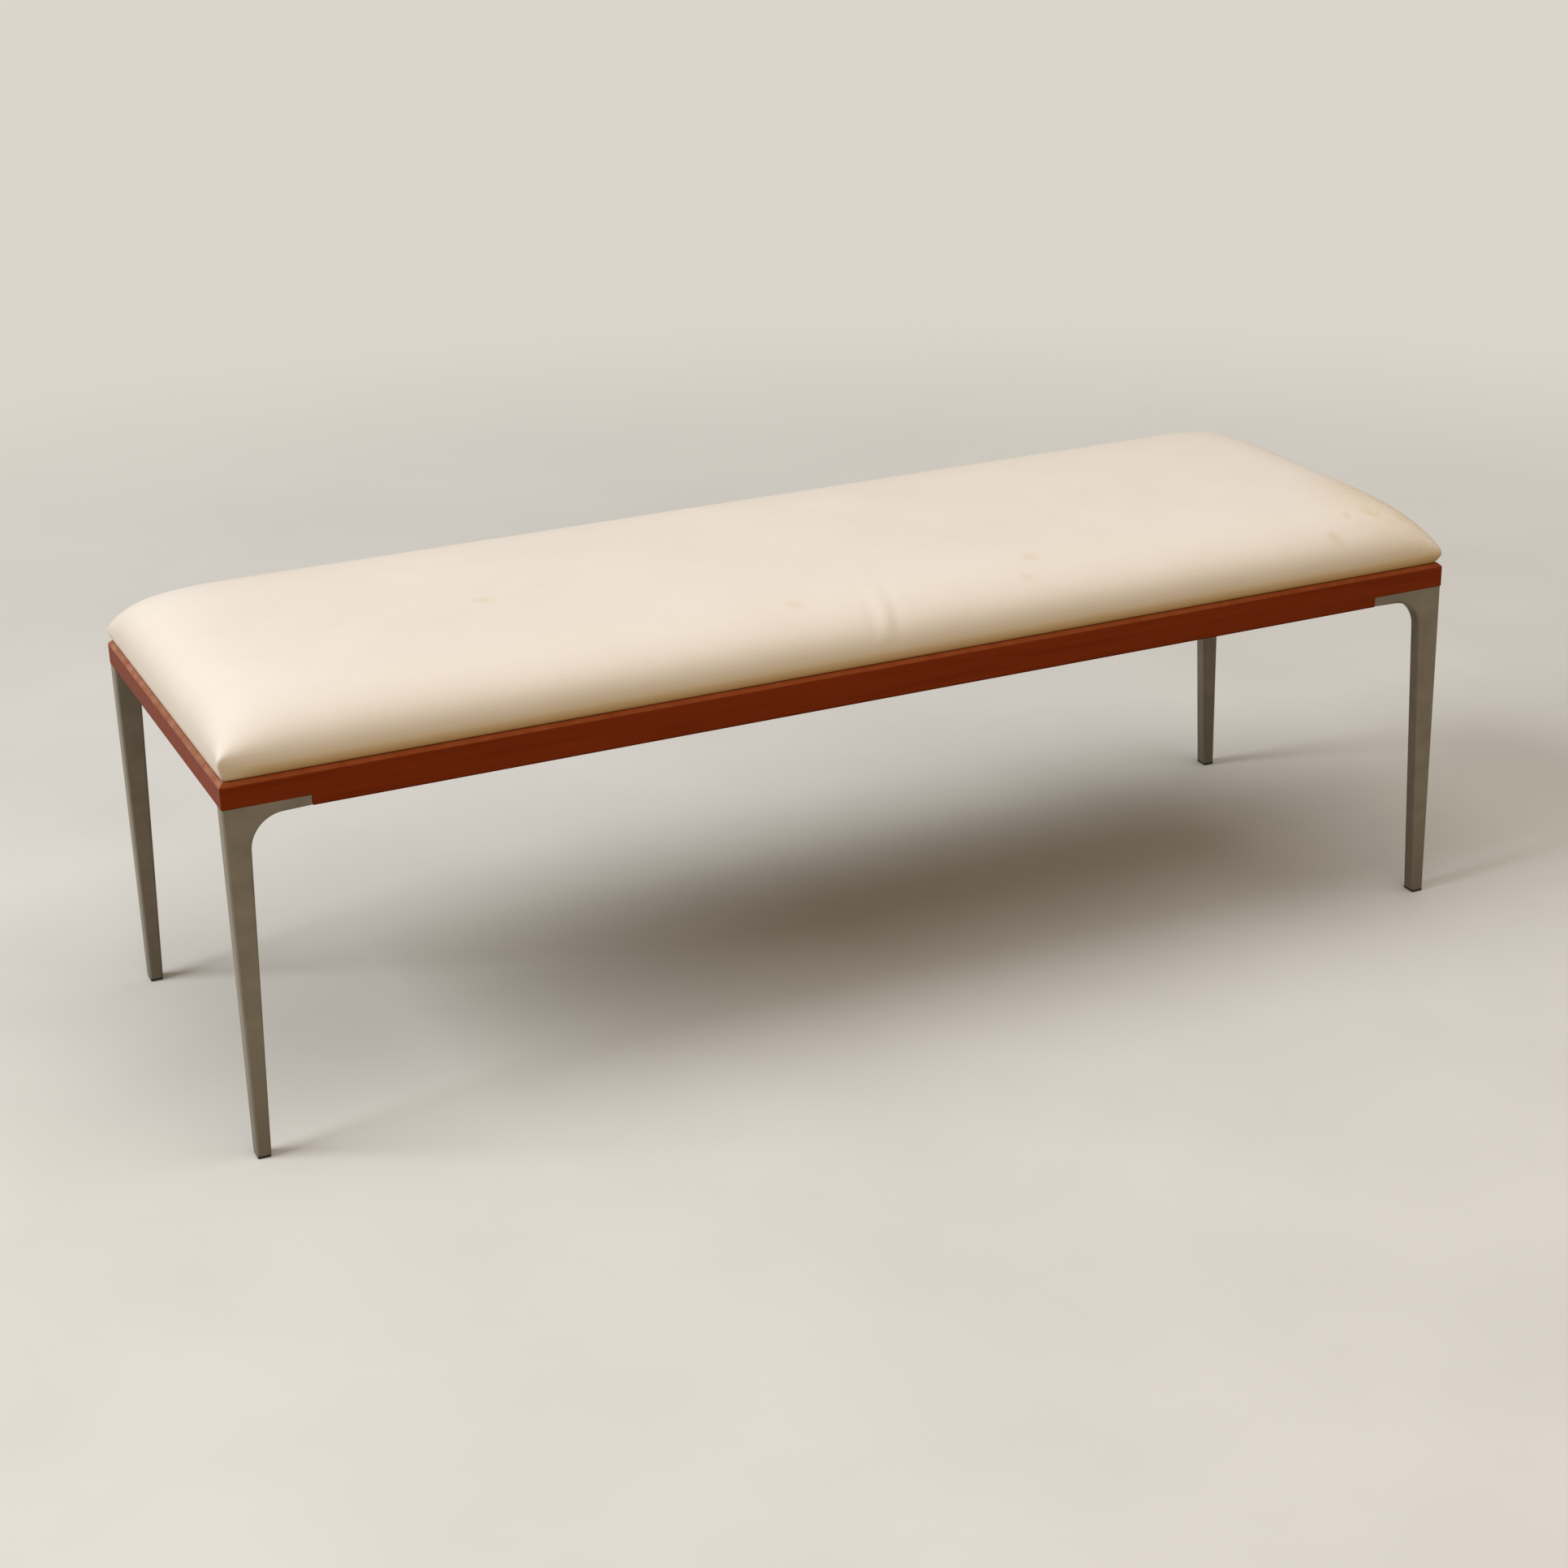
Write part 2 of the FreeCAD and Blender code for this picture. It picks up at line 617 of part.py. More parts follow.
def add_crown(body, kind, depth, equator, top, hem=None, steps=CROWN_STEPS):
    """A loft from the rolled lower edge, if the layer has one, over its widest line to the level top."""
    sections = []
    if hem:
        for angle in ROLL_ANGLES:
            tuck = 1 - math.cos(math.radians(angle))
            rise = 1 - math.sin(math.radians(angle))
            sketch = new_sketch(body, "XY_Plane", f"{hem} + ({equator} - {hem}) * {rise:.5f}")
            add_layer_outline(sketch, depth, tuck=f"sizes.roll_inset * {tuck:.5f}")
            sections.append(sketch)
    for step in range(steps + 1):
        share = (step / steps) ** STEP_POWER
        rise = (1 - (1 - share) ** SIDE_POWER) ** (1 / TOP_POWER)
        sketch = new_sketch(body, "XY_Plane", f"{equator} + ({top} - {equator}) * {rise:.5f}")
        add_layer_outline(sketch, depth, share)
        sections.append(sketch)
    loft = body.newObject(f"PartDesign::{kind}Loft", "crown")
    loft.Profile = sections[0]
    loft.Sections = sections[1:]
    loft.Ruled = True
    return loft


def add_upward_pocket(body, sketch, length):
    pocket = body.newObject("PartDesign::Pocket", "pocket")
    pocket.Profile = sketch
    pocket.Reversed = True
    return bind(pocket, Length=length)


cover = new_body("seat_cover")
add_crown(cover, "Additive", "0", EQUATOR, SEAT_TOP, RAIL_TOP)
add_crown(cover, "Subtractive", COVER_INSIDE, EQUATOR, f"({SEAT_TOP} - {COVER_INSIDE})", DECK_BOTTOM)
hem_plan = new_sketch(cover, "XY_Plane", RAIL_TOP)
add_polygon(hem_plan, rectangle(HEM_EDGE))
add_upward_pocket(cover, hem_plan, "sizes.cover_thickness")
nodes.append(cover)

wadding = new_body("wadding")
add_crown(wadding, "Additive", WADDING_OUTSIDE, EQUATOR, f"({SEAT_TOP} - {WADDING_OUTSIDE})")
add_crown(wadding, "Subtractive", WADDING_INSIDE, DECK_TOP, f"({FOAM_TOP} + sizes.layer_gap)", steps=INNER_STEPS)
deck_hole_plan = new_sketch(wadding, "XY_Plane", EQUATOR)
add_layer_outline(deck_hole_plan, WADDING_INSIDE)
add_upward_pocket(wadding, deck_hole_plan, f"{DECK_TOP} - {EQUATOR}")
nodes.append(wadding)

foam = new_body("foam_core")
add_crown(foam, "Additive", DECK_EDGE, DECK_TOP, FOAM_TOP, steps=INNER_STEPS)
nodes.append(foam)

# Build, look for faults and write one file for each piece.
doc.recompute()
faults = [item.Label for item in doc.Objects if "Invalid" in item.State or "Error" in item.State]
if faults:
    raise RuntimeError("objects with errors: " + ", ".join(faults))
os.makedirs("parts", exist_ok=True)
for node in nodes:
    shape = node.Shape
    if shape.isNull() or not shape.isValid() or not shape.Solids:
        raise RuntimeError("no valid solid in " + node.Label)
    shape.exportStep(f"parts/{node.Label}.step")
    print(f"{node.Label}: {len(shape.Solids)} solids, {shape.Volume / 1000:.2f} cm3")
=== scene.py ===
# %% [markdown]
# # An upholstered bench, dressed in Blender
# The solids of the bench (rails, legs, screws, deck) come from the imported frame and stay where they
# are. This lesson gives each of them its real finish, and builds the soft parts that a solid can only
# hint at: the padded seat, the cloth under it and the staples that hold them. Everything is in metres,
# with the origin on the floor under the middle of the bench and the front towards -Y.

# %% Load the frame
import math
import bmesh
import bpy
import numpy as np
from mathutils import Matrix, Vector


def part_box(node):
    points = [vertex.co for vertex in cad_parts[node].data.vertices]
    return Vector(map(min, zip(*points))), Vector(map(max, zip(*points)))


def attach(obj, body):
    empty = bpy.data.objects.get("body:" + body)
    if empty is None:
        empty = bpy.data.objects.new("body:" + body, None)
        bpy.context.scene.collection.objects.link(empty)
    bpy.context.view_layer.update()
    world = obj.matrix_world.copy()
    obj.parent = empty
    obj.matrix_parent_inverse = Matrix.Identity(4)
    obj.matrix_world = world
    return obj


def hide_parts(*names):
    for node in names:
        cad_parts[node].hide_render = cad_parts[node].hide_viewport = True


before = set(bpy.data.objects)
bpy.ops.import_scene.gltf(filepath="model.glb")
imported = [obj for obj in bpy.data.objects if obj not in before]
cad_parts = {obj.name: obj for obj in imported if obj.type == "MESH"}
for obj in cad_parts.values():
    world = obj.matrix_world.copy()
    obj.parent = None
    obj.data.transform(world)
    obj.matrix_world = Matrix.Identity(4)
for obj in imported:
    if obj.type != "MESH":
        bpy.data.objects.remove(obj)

scene = bpy.context.scene
scene.view_settings.view_transform = "Standard"
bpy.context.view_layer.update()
MM = 0.001
print("frame nodes:", len(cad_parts))

# %% [markdown]
# ## Colours and nodes
# A colour picked from a screen is an sRGB value, while shaders work with linear light, so one function
# converts the hex values used below. A material is a small graph of nodes; one function adds a node,
# sets its options and wires its inputs, which keeps each recipe readable as a list of steps.

# %% Helpers for colours and materials
def linear(hex_colour):
    """An sRGB hex colour as linear red, green, blue and alpha."""
    channels = [int(hex_colour[i:i + 2], 16) / 255 for i in (1, 3, 5)]
    curve = [c / 12.92 if c <= 0.04045 else ((c + 0.055) / 1.055) ** 2.4 for c in channels]
    return (*curve, 1.0)


def add_node(tree, kind, settings=None, stops=(), **inputs):
    """Adds a node; an input named by its socket is a value or the socket that feeds it.

    Sockets that share a name are given by number, as in _6. Stops are pairs of place and hex colour.
    """
    node = tree.nodes.new("ShaderNode" + kind)
    for name, value in (settings or {}).items():
        setattr(node, name, value)
    for number, (place, colour) in enumerate(stops):
        ramp = node.color_ramp.elements
        element = ramp[number] if number < len(ramp) else ramp.new(place)
        element.position = place
        element.color = linear(colour)
    for name, value in inputs.items():
        key = int(name[1:]) if name[1:].isdigit() else name.replace("_", " ")
        socket = node.inputs[key]
        if isinstance(value, bpy.types.NodeSocket):
            tree.links.new(value, socket)
        else:
            socket.default_value = value
    return node


def multiply(tree, first, second):
    """The product of two number sockets."""
    return add_node(tree, "Math", {"operation": "MULTIPLY"}, _0=first, _1=second).outputs["Value"]


def tint(tree, share, under, colour):
    """Lays a hex colour over a colour socket, by a share from 0 to 1."""
    mix = add_node(tree, "Mix", {"data_type": "RGBA"}, Factor=share, _6=under, _7=linear(colour))
    return mix.outputs["Result"]


def scale_for(sizes):
    """Texture scales along X, Y and Z for features of these sizes in millimetres."""
    return Vector([1 / (side * MM) for side in sizes])


def start_material(name):
    """A new material with its graph and the shader that the recipe fills in."""
    material = bpy.data.materials.new(name)
    material.use_nodes = True
    tree = material.node_tree
    return material, tree, tree.nodes["Principled BSDF"]


def dress(nodes, material):
    """Puts a material on CAD nodes, which keep their shape and place."""
    for name in nodes:
        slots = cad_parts[name].data.materials
        slots.clear()
        slots.append(material)
    print(material.name, "on", len(nodes), "pieces")


print("cream as linear light:", [round(c, 3) for c in linear("#F0E6D6")])

# %% [markdown]
# ## Camera
# The photograph is taken from standing height, to the left of the bench and slightly tilted. The
# numbers were found by matching the rails' corners and the feet in the picture, so the model falls on
# the photograph's outline. The picture is square, so one sensor width serves both sides.

# %% Place the camera
YAW = math.radians(23.966)
PITCH = math.radians(22.099)
ROLL = math.radians(-1.595)
CAMERA_PLACE = Vector((-1.2389, -2.7634, 1.4109))
SENSOR_WIDTH = 36
FOCAL_LENGTH = 67.84

forward = Vector((math.sin(YAW) * math.cos(PITCH), math.cos(YAW) * math.cos(PITCH), -math.sin(PITCH)))
level_right = Vector((math.cos(YAW), -math.sin(YAW), 0))
level_up = level_right.cross(forward)
right = level_right * math.cos(ROLL) + level_up * math.sin(ROLL)
up = level_up * math.cos(ROLL) - level_right * math.sin(ROLL)

camera_data = bpy.data.cameras.new("photographer")
camera_data.sensor_width = SENSOR_WIDTH
camera_data.lens = FOCAL_LENGTH
camera = bpy.data.objects.new("photographer", camera_data)
turned = Matrix((right, up, -forward)).transposed().to_4x4()
camera.matrix_world = Matrix.Translation(CAMERA_PLACE) @ turned
scene.collection.objects.link(camera)
scene.camera = camera
print("camera looks down by", round(math.degrees(PITCH), 1), "degrees")

# %% [markdown]
# ## Floor and light
# A plain pale floor carries the bench and its shadow, and fades to an even backdrop further away. The
# light that it gives back to the bench is warm, which, with warm shade painted on the cloth, is why the
# lower edge of the seat looks more golden than its top.

# %% Build the stage
FLOOR_SIDE = 60.0
FADE_START = 0.9
FADE_END = 3.2
BACKDROP = "#DBD6CC"
floor_mesh = bpy.data.meshes.new("studio_floor")
half = FLOOR_SIDE / 2
corners = [(-half, -half, 0), (half, -half, 0), (half, half, 0), (-half, half, 0)]
floor_mesh.from_pydata(corners, [], [(0, 1, 2, 3)])
floor = bpy.data.objects.new("studio_floor", floor_mesh)
scene.collection.objects.link(floor)

floor_paint, tree, shader = start_material("matt floor paint")
shader.inputs["Roughness"].default_value = 0.9
place = add_node(tree, "TexCoord").outputs["Object"]
roller = add_node(tree, "TexNoise", Vector=place, Scale=3.0, Detail=3.0)
pale = [(0.3, "#DCDAD6"), (0.7, "#E3E1DD")]
shade = add_node(tree, "ValToRGB", stops=pale, Fac=roller.outputs["Fac"]).outputs["Color"]
# To the eye and in gloss the floor is pale; the light that it scatters on to the bench is warmer.
ray = add_node(tree, "LightPath")
looks = add_node(tree, "Math", {"operation": "MAXIMUM"},
                 _0=ray.outputs["Is Camera Ray"], _1=ray.outputs["Is Glossy Ray"]).outputs["Value"]
looks = add_node(tree, "Math", {"operation": "MAXIMUM"},
                 _0=looks, _1=ray.outputs["Is Transmission Ray"]).outputs["Value"]
paint = add_node(tree, "Mix", {"data_type": "RGBA"}, Factor=looks, _6=linear("#A8946F"), _7=shade)
tree.links.new(paint.outputs["Result"], shader.inputs["Base Color"])
# Away from the bench, where its shadow ends, the floor fades to an even backdrop.
away = add_node(tree, "VectorMath", {"operation": "LENGTH"}, Vector=place).outputs["Value"]
far = add_node(tree, "MapRange", {"interpolation_type": "SMOOTHSTEP"}, Value=away,
               From_Min=FADE_START, From_Max=FADE_END).outputs["Result"]
fade = multiply(tree, far, looks)
backdrop = add_node(tree, "Emission", Color=linear(BACKDROP), Strength=1.0)
blend = add_node(tree, "MixShader", Fac=fade,
                 _1=shader.outputs["BSDF"], _2=backdrop.outputs["Emission"])
tree.links.new(blend.outputs["Shader"], tree.nodes["Material Output"].inputs["Surface"])
floor_mesh.materials.append(floor_paint)
print("floor:", FLOOR_SIDE, "m wide")

# %% [markdown]
# ### Lamps
# Large lamps give soft shadows, as a window and a bright room do. The window lights the top and the
# left end. The ceiling and the room behind the camera are weak and slightly warm, so they only lift
# the shade. The world adds an even glow; to the camera it has the tone of the backdrop.

# %% Hang the lamps
def soft_lamp(name, place, target, side, watts, colour):
    """A square lamp of the given side that faces a point."""
    data = bpy.data.lights.new(name, "AREA")
    data.size = side
    data.energy = watts
    data.color = linear(colour)[:3]
    lamp = bpy.data.objects.new(name, data)
    lamp.location = place
    lamp.rotation_euler = (Vector(target) - Vector(place)).to_track_quat("-Z", "Y").to_euler()
    scene.collection.objects.link(lamp)


soft_lamp("window", (-5.3, 0.4, 4.55), (0, 0, 0.4), 3.5, 292, "#FAFDFF")
soft_lamp("ceiling", (0.4, -0.9, 4.5), (0.2, 0, 0.4), 4.0, 85, "#FFFBF6")
soft_lamp("room", (-0.2, -5.2, 2.6), (0.1, 0, 0.3), 3.0, 41, "#FFDC92")

sky = bpy.data.worlds.new("room light")
sky.use_nodes = True
scene.world = sky
ray = add_node(sky.node_tree, "LightPath")
tone = add_node(sky.node_tree, "Mix", {"data_type": "RGBA"}, Factor=ray.outputs["Is Camera Ray"],
                _6=linear("#867F76"), _7=linear(BACKDROP))
sky.node_tree.links.new(tone.outputs["Result"], sky.node_tree.nodes["Background"].inputs["Color"])

# %% [markdown]
# ## Stained cherry
# The four rails are cherry, planed, stained red-brown and finished with satin lacquer. The eye sees an
# almost even colour with faint streaks along the length and a soft gloss. A paler line along the arris
# is a painted highlight, and a dark line along the lower edge is painted shade. Cherry is fine grained:
# its streaks are a few millimetres wide and many centimetres long, so the noise is stretched along the
# rail. The end rails run the other way and need their own copy, with a paler painted highlight.

# %% Make the cherry
ARRIS_START = 389.5 * MM
ARRIS_FULL = 391.2 * MM
HIGHLIGHT_PATCH = 18 * MM
SHADE_LINE_START = 2.6 * MM
SHADE_LINE_FULL = 0.6 * MM


def stained_cherry(name, along, underside, arris_highlight):
    """Cherry whose grain runs along X or Y; painted shade darkens its lower edge, at the height
    underside.
    """
    material, tree, shader = start_material(name)
    place = add_node(tree, "TexCoord").outputs["Object"]
    streak_scale = scale_for((260, 7, 9) if along == "X" else (7, 260, 9))
    fibre_scale = scale_for((40, 0.9, 0.9) if along == "X" else (0.9, 40, 0.9))
    streak_place = add_node(tree, "Mapping", Vector=place, Scale=streak_scale).outputs["Vector"]
    fibre_place = add_node(tree, "Mapping", Vector=place, Scale=fibre_scale).outputs["Vector"]
    streak = add_node(tree, "TexNoise", Vector=streak_place, Scale=1.0, Detail=4.0, Distortion=0.6)
    fibre = add_node(tree, "TexNoise", Vector=fibre_place, Scale=1.0, Detail=2.0)
    blend = add_node(tree, "Mix", {"data_type": "FLOAT"}, Factor=0.35,
                     _2=streak.outputs["Fac"], _3=fibre.outputs["Fac"])
    stain = [(0.30, "#732A12"), (0.50, "#7F3116"), (0.70, "#873719")]
    wood = add_node(tree, "ValToRGB", stops=stain, Fac=blend.outputs["Result"]).outputs["Color"]
    # A painted highlight lightens the arris under the chamfer, about 2 mm wide, in patches.
    height = add_node(tree, "SeparateXYZ", Vector=place).outputs["Z"]
    arris = add_node(tree, "MapRange", Value=height,
                     From_Min=ARRIS_START, From_Max=ARRIS_FULL).outputs["Result"]
    patchy = add_node(tree, "TexNoise", Vector=place, Scale=1 / HIGHLIGHT_PATCH, Detail=3.0).outputs["Fac"]
    wear_and_painted_light = tint(tree, multiply(tree, arris, patchy), wood, arris_highlight)
    # Painted shade leaves a dark line along the lower arris.
    lower_edge_shade = add_node(tree, "MapRange", Value=height, From_Min=underside + SHADE_LINE_START,
                        From_Max=underside + SHADE_LINE_FULL, To_Max=0.6).outputs["Result"]
    edged = tint(tree, lower_edge_shade, wear_and_painted_light, "#3E1003")
    tree.links.new(edged, shader.inputs["Base Color"])
    gloss = add_node(tree, "MapRange", Value=streak.outputs["Fac"], To_Min=0.42, To_Max=0.54)
    tree.links.new(gloss.outputs["Result"], shader.inputs["Roughness"])
    pores = add_node(tree, "Bump", Height=fibre.outputs["Fac"], Strength=0.12, Distance=0.2 * MM)
    tree.links.new(pores.outputs["Normal"], shader.inputs["Normal"])
    shader.inputs["IOR"].default_value = 1.5
    shader.inputs["Specular IOR Level"].default_value = 0.09
    shader.inputs["Specular Tint"].default_value = linear("#FFD450")
    return material


# The last colour of each rail is its painted highlight along the arris.
long_wood = stained_cherry("stained cherry, long rails", "X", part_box("front_rail")[0].z, "#96502C")
end_wood = stained_cherry("stained cherry, end rails", "Y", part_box("left_end_rail")[0].z, "#C19176")
dress(["front_rail", "back_rail"], long_wood)
dress(["left_end_rail", "right_end_rail"], end_wood)

# %% [markdown]
# ## Plain frame wood and plywood
# What nobody sees from above is left bare: the corner blocks, the two cross pieces and the loose
# tongues are planed hardwood, pale with brown flecks, and the deck is sanded birch plywood with a
# broad, quiet figure. Bare wood scatters light, so it is much rougher than the lacquered rails.

# %% Make the bare woods
def bare_wood(name, grain, flecks, stops):
    """Unfinished wood; grain and flecks give the streak sizes in millimetres along X, Y and Z."""
    material, tree, shader = start_material(name)
    place = add_node(tree, "TexCoord").outputs["Object"]
    grain_place = add_node(tree, "Mapping", Vector=place, Scale=scale_for(grain)).outputs["Vector"]
    fleck_place = add_node(tree, "Mapping", Vector=place, Scale=scale_for(flecks)).outputs["Vector"]
    figure = add_node(tree, "TexNoise", Vector=grain_place, Scale=1.0, Detail=4.0, Distortion=0.9)
    fleck = add_node(tree, "TexNoise", Vector=fleck_place, Scale=1.0, Detail=2.0)
    blend = add_node(tree, "Mix", {"data_type": "FLOAT"}, Factor=0.4,
                     _2=figure.outputs["Fac"], _3=fleck.outputs["Fac"])
    wood = add_node(tree, "ValToRGB", stops=stops, Fac=blend.outputs["Result"])
    tree.links.new(wood.outputs["Color"], shader.inputs["Base Color"])
    planed = add_node(tree, "Bump", Height=fleck.outputs["Fac"], Strength=0.3, Distance=0.3 * MM)
    tree.links.new(planed.outputs["Normal"], shader.inputs["Normal"])
    shader.inputs["Roughness"].default_value = 0.72
    return material


MAPLE = [(0.3, "#A9825A"), (0.5, "#C6A478"), (0.7, "#D6BA92")]
BIRCH = [(0.3, "#B9935F"), (0.5, "#D2B283"), (0.7, "#DDC399")]
blocks = [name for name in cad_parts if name.startswith("corner_block")]
block_wood = bare_wood("planed maple, blocks", (60, 10, 10), (18, 1.0, 1.0), MAPLE)
cross_wood = bare_wood("planed maple, cross pieces", (10, 120, 10), (1.0, 22, 1.0), MAPLE)
deck_wood = bare_wood("sanded birch plywood", (240, 28, 4), (26, 1.2, 1.2), BIRCH)
dress(blocks + ["mitre_splines"], block_wood)
dress(["stretcher_left", "stretcher_right"], cross_wood)
dress(["seat_deck"], deck_wood)

# %% [markdown]
# ## Cast legs, screws and glides
# The legs are cast aluminium with a thin satin powder coat in a warm grey that has a little metal
# flake in it: the eye gets a broad, dull highlight, faint clouds and darker scuffs towards the floor.
# The faces at the bench's ends are brightened with painted light.
# The screws are steel with a thin bright zinc coat, and the glides are moulded black nylon.

# %% Make the metals and the nylon
CLOUD = 25 * MM
SCUFF_HEIGHT = 110 * MM
END_FACE_START = 0.40
END_FACE_FULL = 0.62


def powder_coat():
    """Satin powder on a casting: clouds 25 mm wide over fine upright marks from grinding."""
    material, tree, shader = start_material("cast aluminium, powder coated satin grey")
    place = add_node(tree, "TexCoord").outputs["Object"]
    clouds = add_node(tree, "TexNoise", Vector=place, Scale=1 / CLOUD, Detail=4.0)
    grain_scale = scale_for((0.6, 0.6, 9))
    grain_place = add_node(tree, "Mapping", Vector=place, Scale=grain_scale).outputs["Vector"]
    ground = add_node(tree, "TexNoise", Vector=grain_place, Scale=1.0, Detail=2.0)
    greys = [(0.3, "#7C756A"), (0.7, "#8B8478")]
    metal = add_node(tree, "ValToRGB", stops=greys, Fac=clouds.outputs["Fac"]).outputs["Color"]
    spot = add_node(tree, "SeparateXYZ", Vector=place).outputs
    # Painted light brightens the faces that look out at both ends of the bench. There the normal's X
    # and the place's X have the same sign, so their product is large.
    normal = add_node(tree, "NewGeometry").outputs["Normal"]
    facing = add_node(tree, "SeparateXYZ", Vector=normal).outputs["X"]
    lit_end_face = add_node(tree, "MapRange", Value=multiply(tree, facing, spot["X"]),
                        From_Min=END_FACE_START, From_Max=END_FACE_FULL).outputs["Result"]
    end_face_light = tint(tree, lit_end_face, metal, "#979084")
    low = add_node(tree, "MapRange", Value=spot["Z"], From_Min=SCUFF_HEIGHT, From_Max=0.0)
    scuffed = multiply(tree, low.outputs["Result"], clouds.outputs["Fac"])
    wear_and_painted_light = tint(tree, scuffed, end_face_light, "#655F55")
    tree.links.new(wear_and_painted_light, shader.inputs["Base Color"])
    dull = add_node(tree, "MapRange", Value=clouds.outputs["Fac"], To_Min=0.50, To_Max=0.60)
    tree.links.new(dull.outputs["Result"], shader.inputs["Roughness"])
    marks = add_node(tree, "Bump", Height=ground.outputs["Fac"], Strength=0.1, Distance=0.1 * MM)
    tree.links.new(marks.outputs["Normal"], shader.inputs["Normal"])
    shader.inputs["Metallic"].default_value = 0.3
    return material


def zinc_plate():
    """Bright zinc on steel, slightly blotched where the bath left its colour."""
    material, tree, shader = start_material("steel, bright zinc plated")
    place = add_node(tree, "TexCoord").outputs["Object"]
    blotch = add_node(tree, "TexNoise", Vector=place, Scale=1 / (3 * MM), Detail=3.0)
    greys = [(0.35, "#A9AAA6"), (0.65, "#C2C0B4")]
    coat = add_node(tree, "ValToRGB", stops=greys, Fac=blotch.outputs["Fac"])
    tree.links.new(coat.outputs["Color"], shader.inputs["Base Color"])
    dull = add_node(tree, "MapRange", Value=blotch.outputs["Fac"], To_Min=0.26, To_Max=0.42)
    tree.links.new(dull.outputs["Result"], shader.inputs["Roughness"])
    shader.inputs["Metallic"].default_value = 1.0
    return material


def black_nylon():
    """Moulded nylon, finely textured."""
    material, tree, shader = start_material("nylon, moulded black")
    place = add_node(tree, "TexCoord").outputs["Object"]
    spark = add_node(tree, "TexNoise", Vector=place, Scale=1 / (0.8 * MM), Detail=2.0)
    blacks = [(0.35, "#161616"), (0.65, "#262524")]
    skin = add_node(tree, "ValToRGB", stops=blacks, Fac=spark.outputs["Fac"])
    tree.links.new(skin.outputs["Color"], shader.inputs["Base Color"])
    rough = add_node(tree, "Bump", Height=spark.outputs["Fac"], Strength=0.25, Distance=0.1 * MM)
    tree.links.new(rough.outputs["Normal"], shader.inputs["Normal"])
    shader.inputs["Roughness"].default_value = 0.5
    shader.inputs["IOR"].default_value = 1.53
    return material


steel = zinc_plate()
legs = [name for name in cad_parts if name.startswith("leg_") and name != "leg_screws"]
glides = [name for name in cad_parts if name.startswith("glide")]
dress(legs, powder_coat())
dress(["leg_screws", "deck_screws"], steel)
dress(glides, black_nylon())

# %% [markdown]
# ## Eased edges
# No real edge is razor sharp: sandpaper takes the corner off wood, and a coat of powder rounds that of
# a casting. A bevel modifier gives each edge this thin rounded band, which catches the light as a fine
# line. The solids' own meshes stay as they are, since a modifier works on a copy. Points that lie on
# each other are joined first, which also clears the screws of faces without any area.

# %% Ease the edges of rails and legs
SAME_POINT = 0.01 * MM
SHARP_TURN = math.radians(30)
WOOD_EDGE = 0.6 * MM
CAST_EDGE = 0.8 * MM


def join_corners(piece):
    """Joins points that lie on each other, so that a face without any area drops out."""
    weld = piece.modifiers.new("joined_corners", "WELD")
    weld.merge_threshold = SAME_POINT


def ease_edges(names, width):
    """Rounds the edges that turn sharply."""
    for name in names:
        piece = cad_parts[name]
        join_corners(piece)
        bevel = piece.modifiers.new("eased_edges", "BEVEL")
        bevel.width = width
        bevel.segments = 2
        bevel.limit_method = "ANGLE"
        bevel.angle_limit = SHARP_TURN
        bevel.harden_normals = True
    print("eased by", round(width / MM, 2), "mm:", len(names), "pieces")


ease_edges(["front_rail", "back_rail", "left_end_rail", "right_end_rail"], WOOD_EDGE)
ease_edges(legs, CAST_EDGE)
for name in ("leg_screws", "deck_screws"):
    join_corners(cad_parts[name])
print("joined points: screws")

# %% [markdown]
# ## The seat's crown
# The seat is foam on a plywood deck, wrapped in wadding and one piece of cloth that is drawn over the
# edges and stapled underneath. It could be sculpted, but a formula holds its size: the height rises
# steeply from each edge and flattens towards the middle, and the two directions multiply, so each
# corner is pulled down to a soft point. Rows of points lie close together at the edges, where the
# surface turns most.

# %% Measure the seat and set out its grid
seat_low, seat_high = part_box("seat_cover")
deck_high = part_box("seat_deck")[1]
RAIL_TOP = seat_low.z
HALF_LENGTH = seat_high.x
HALF_DEPTH = seat_high.y
CROWN = 70.9 * MM
ROLL_HEIGHT = 11.2 * MM
ROLL_INSET = 4.0 * MM
END_REACH = 170.6 * MM
SIDE_REACH = 231.0 * MM
STEEPNESS = 4.92
FULLNESS = 2.39
CORNER_RADIUS = 3.5 * MM
CORNER_FADE = 7.0 * MM
CORNER_REACH = 2.5 * MM
REACH_FADE = 12.0 * MM
CORNER_TUCK = 3.0 * MM
LIFT_FADE = 25.0 * MM
# No two corners are folded alike: how much higher the corner's point lies than the rest of the
# widest line, and how crisp the ridge above it is.
FOLDED_LIFT = 10.0 * MM
FOLDED_RIDGE = 0.35
FRONT_LIFT = 0.0
BACK_LIFT = -2.5 * MM
SOFT_RIDGE = 0.2


def graded(half, first, growth, widest):
    """Distances in from an edge to the middle, close at first and then evenly spaced."""
    steps = [first]
    while sum(steps) < half:
        steps.append(min(steps[-1] * growth, widest))
    distances = np.concatenate([[0.0], np.cumsum(steps)])
    return distances * half / distances[-1]


def across(half, first, growth, widest):
    """Positions from one edge to the other."""
    inward = graded(half, first, growth, widest)
    return np.concatenate([inward - half, (half - inward[:-1])[::-1]])


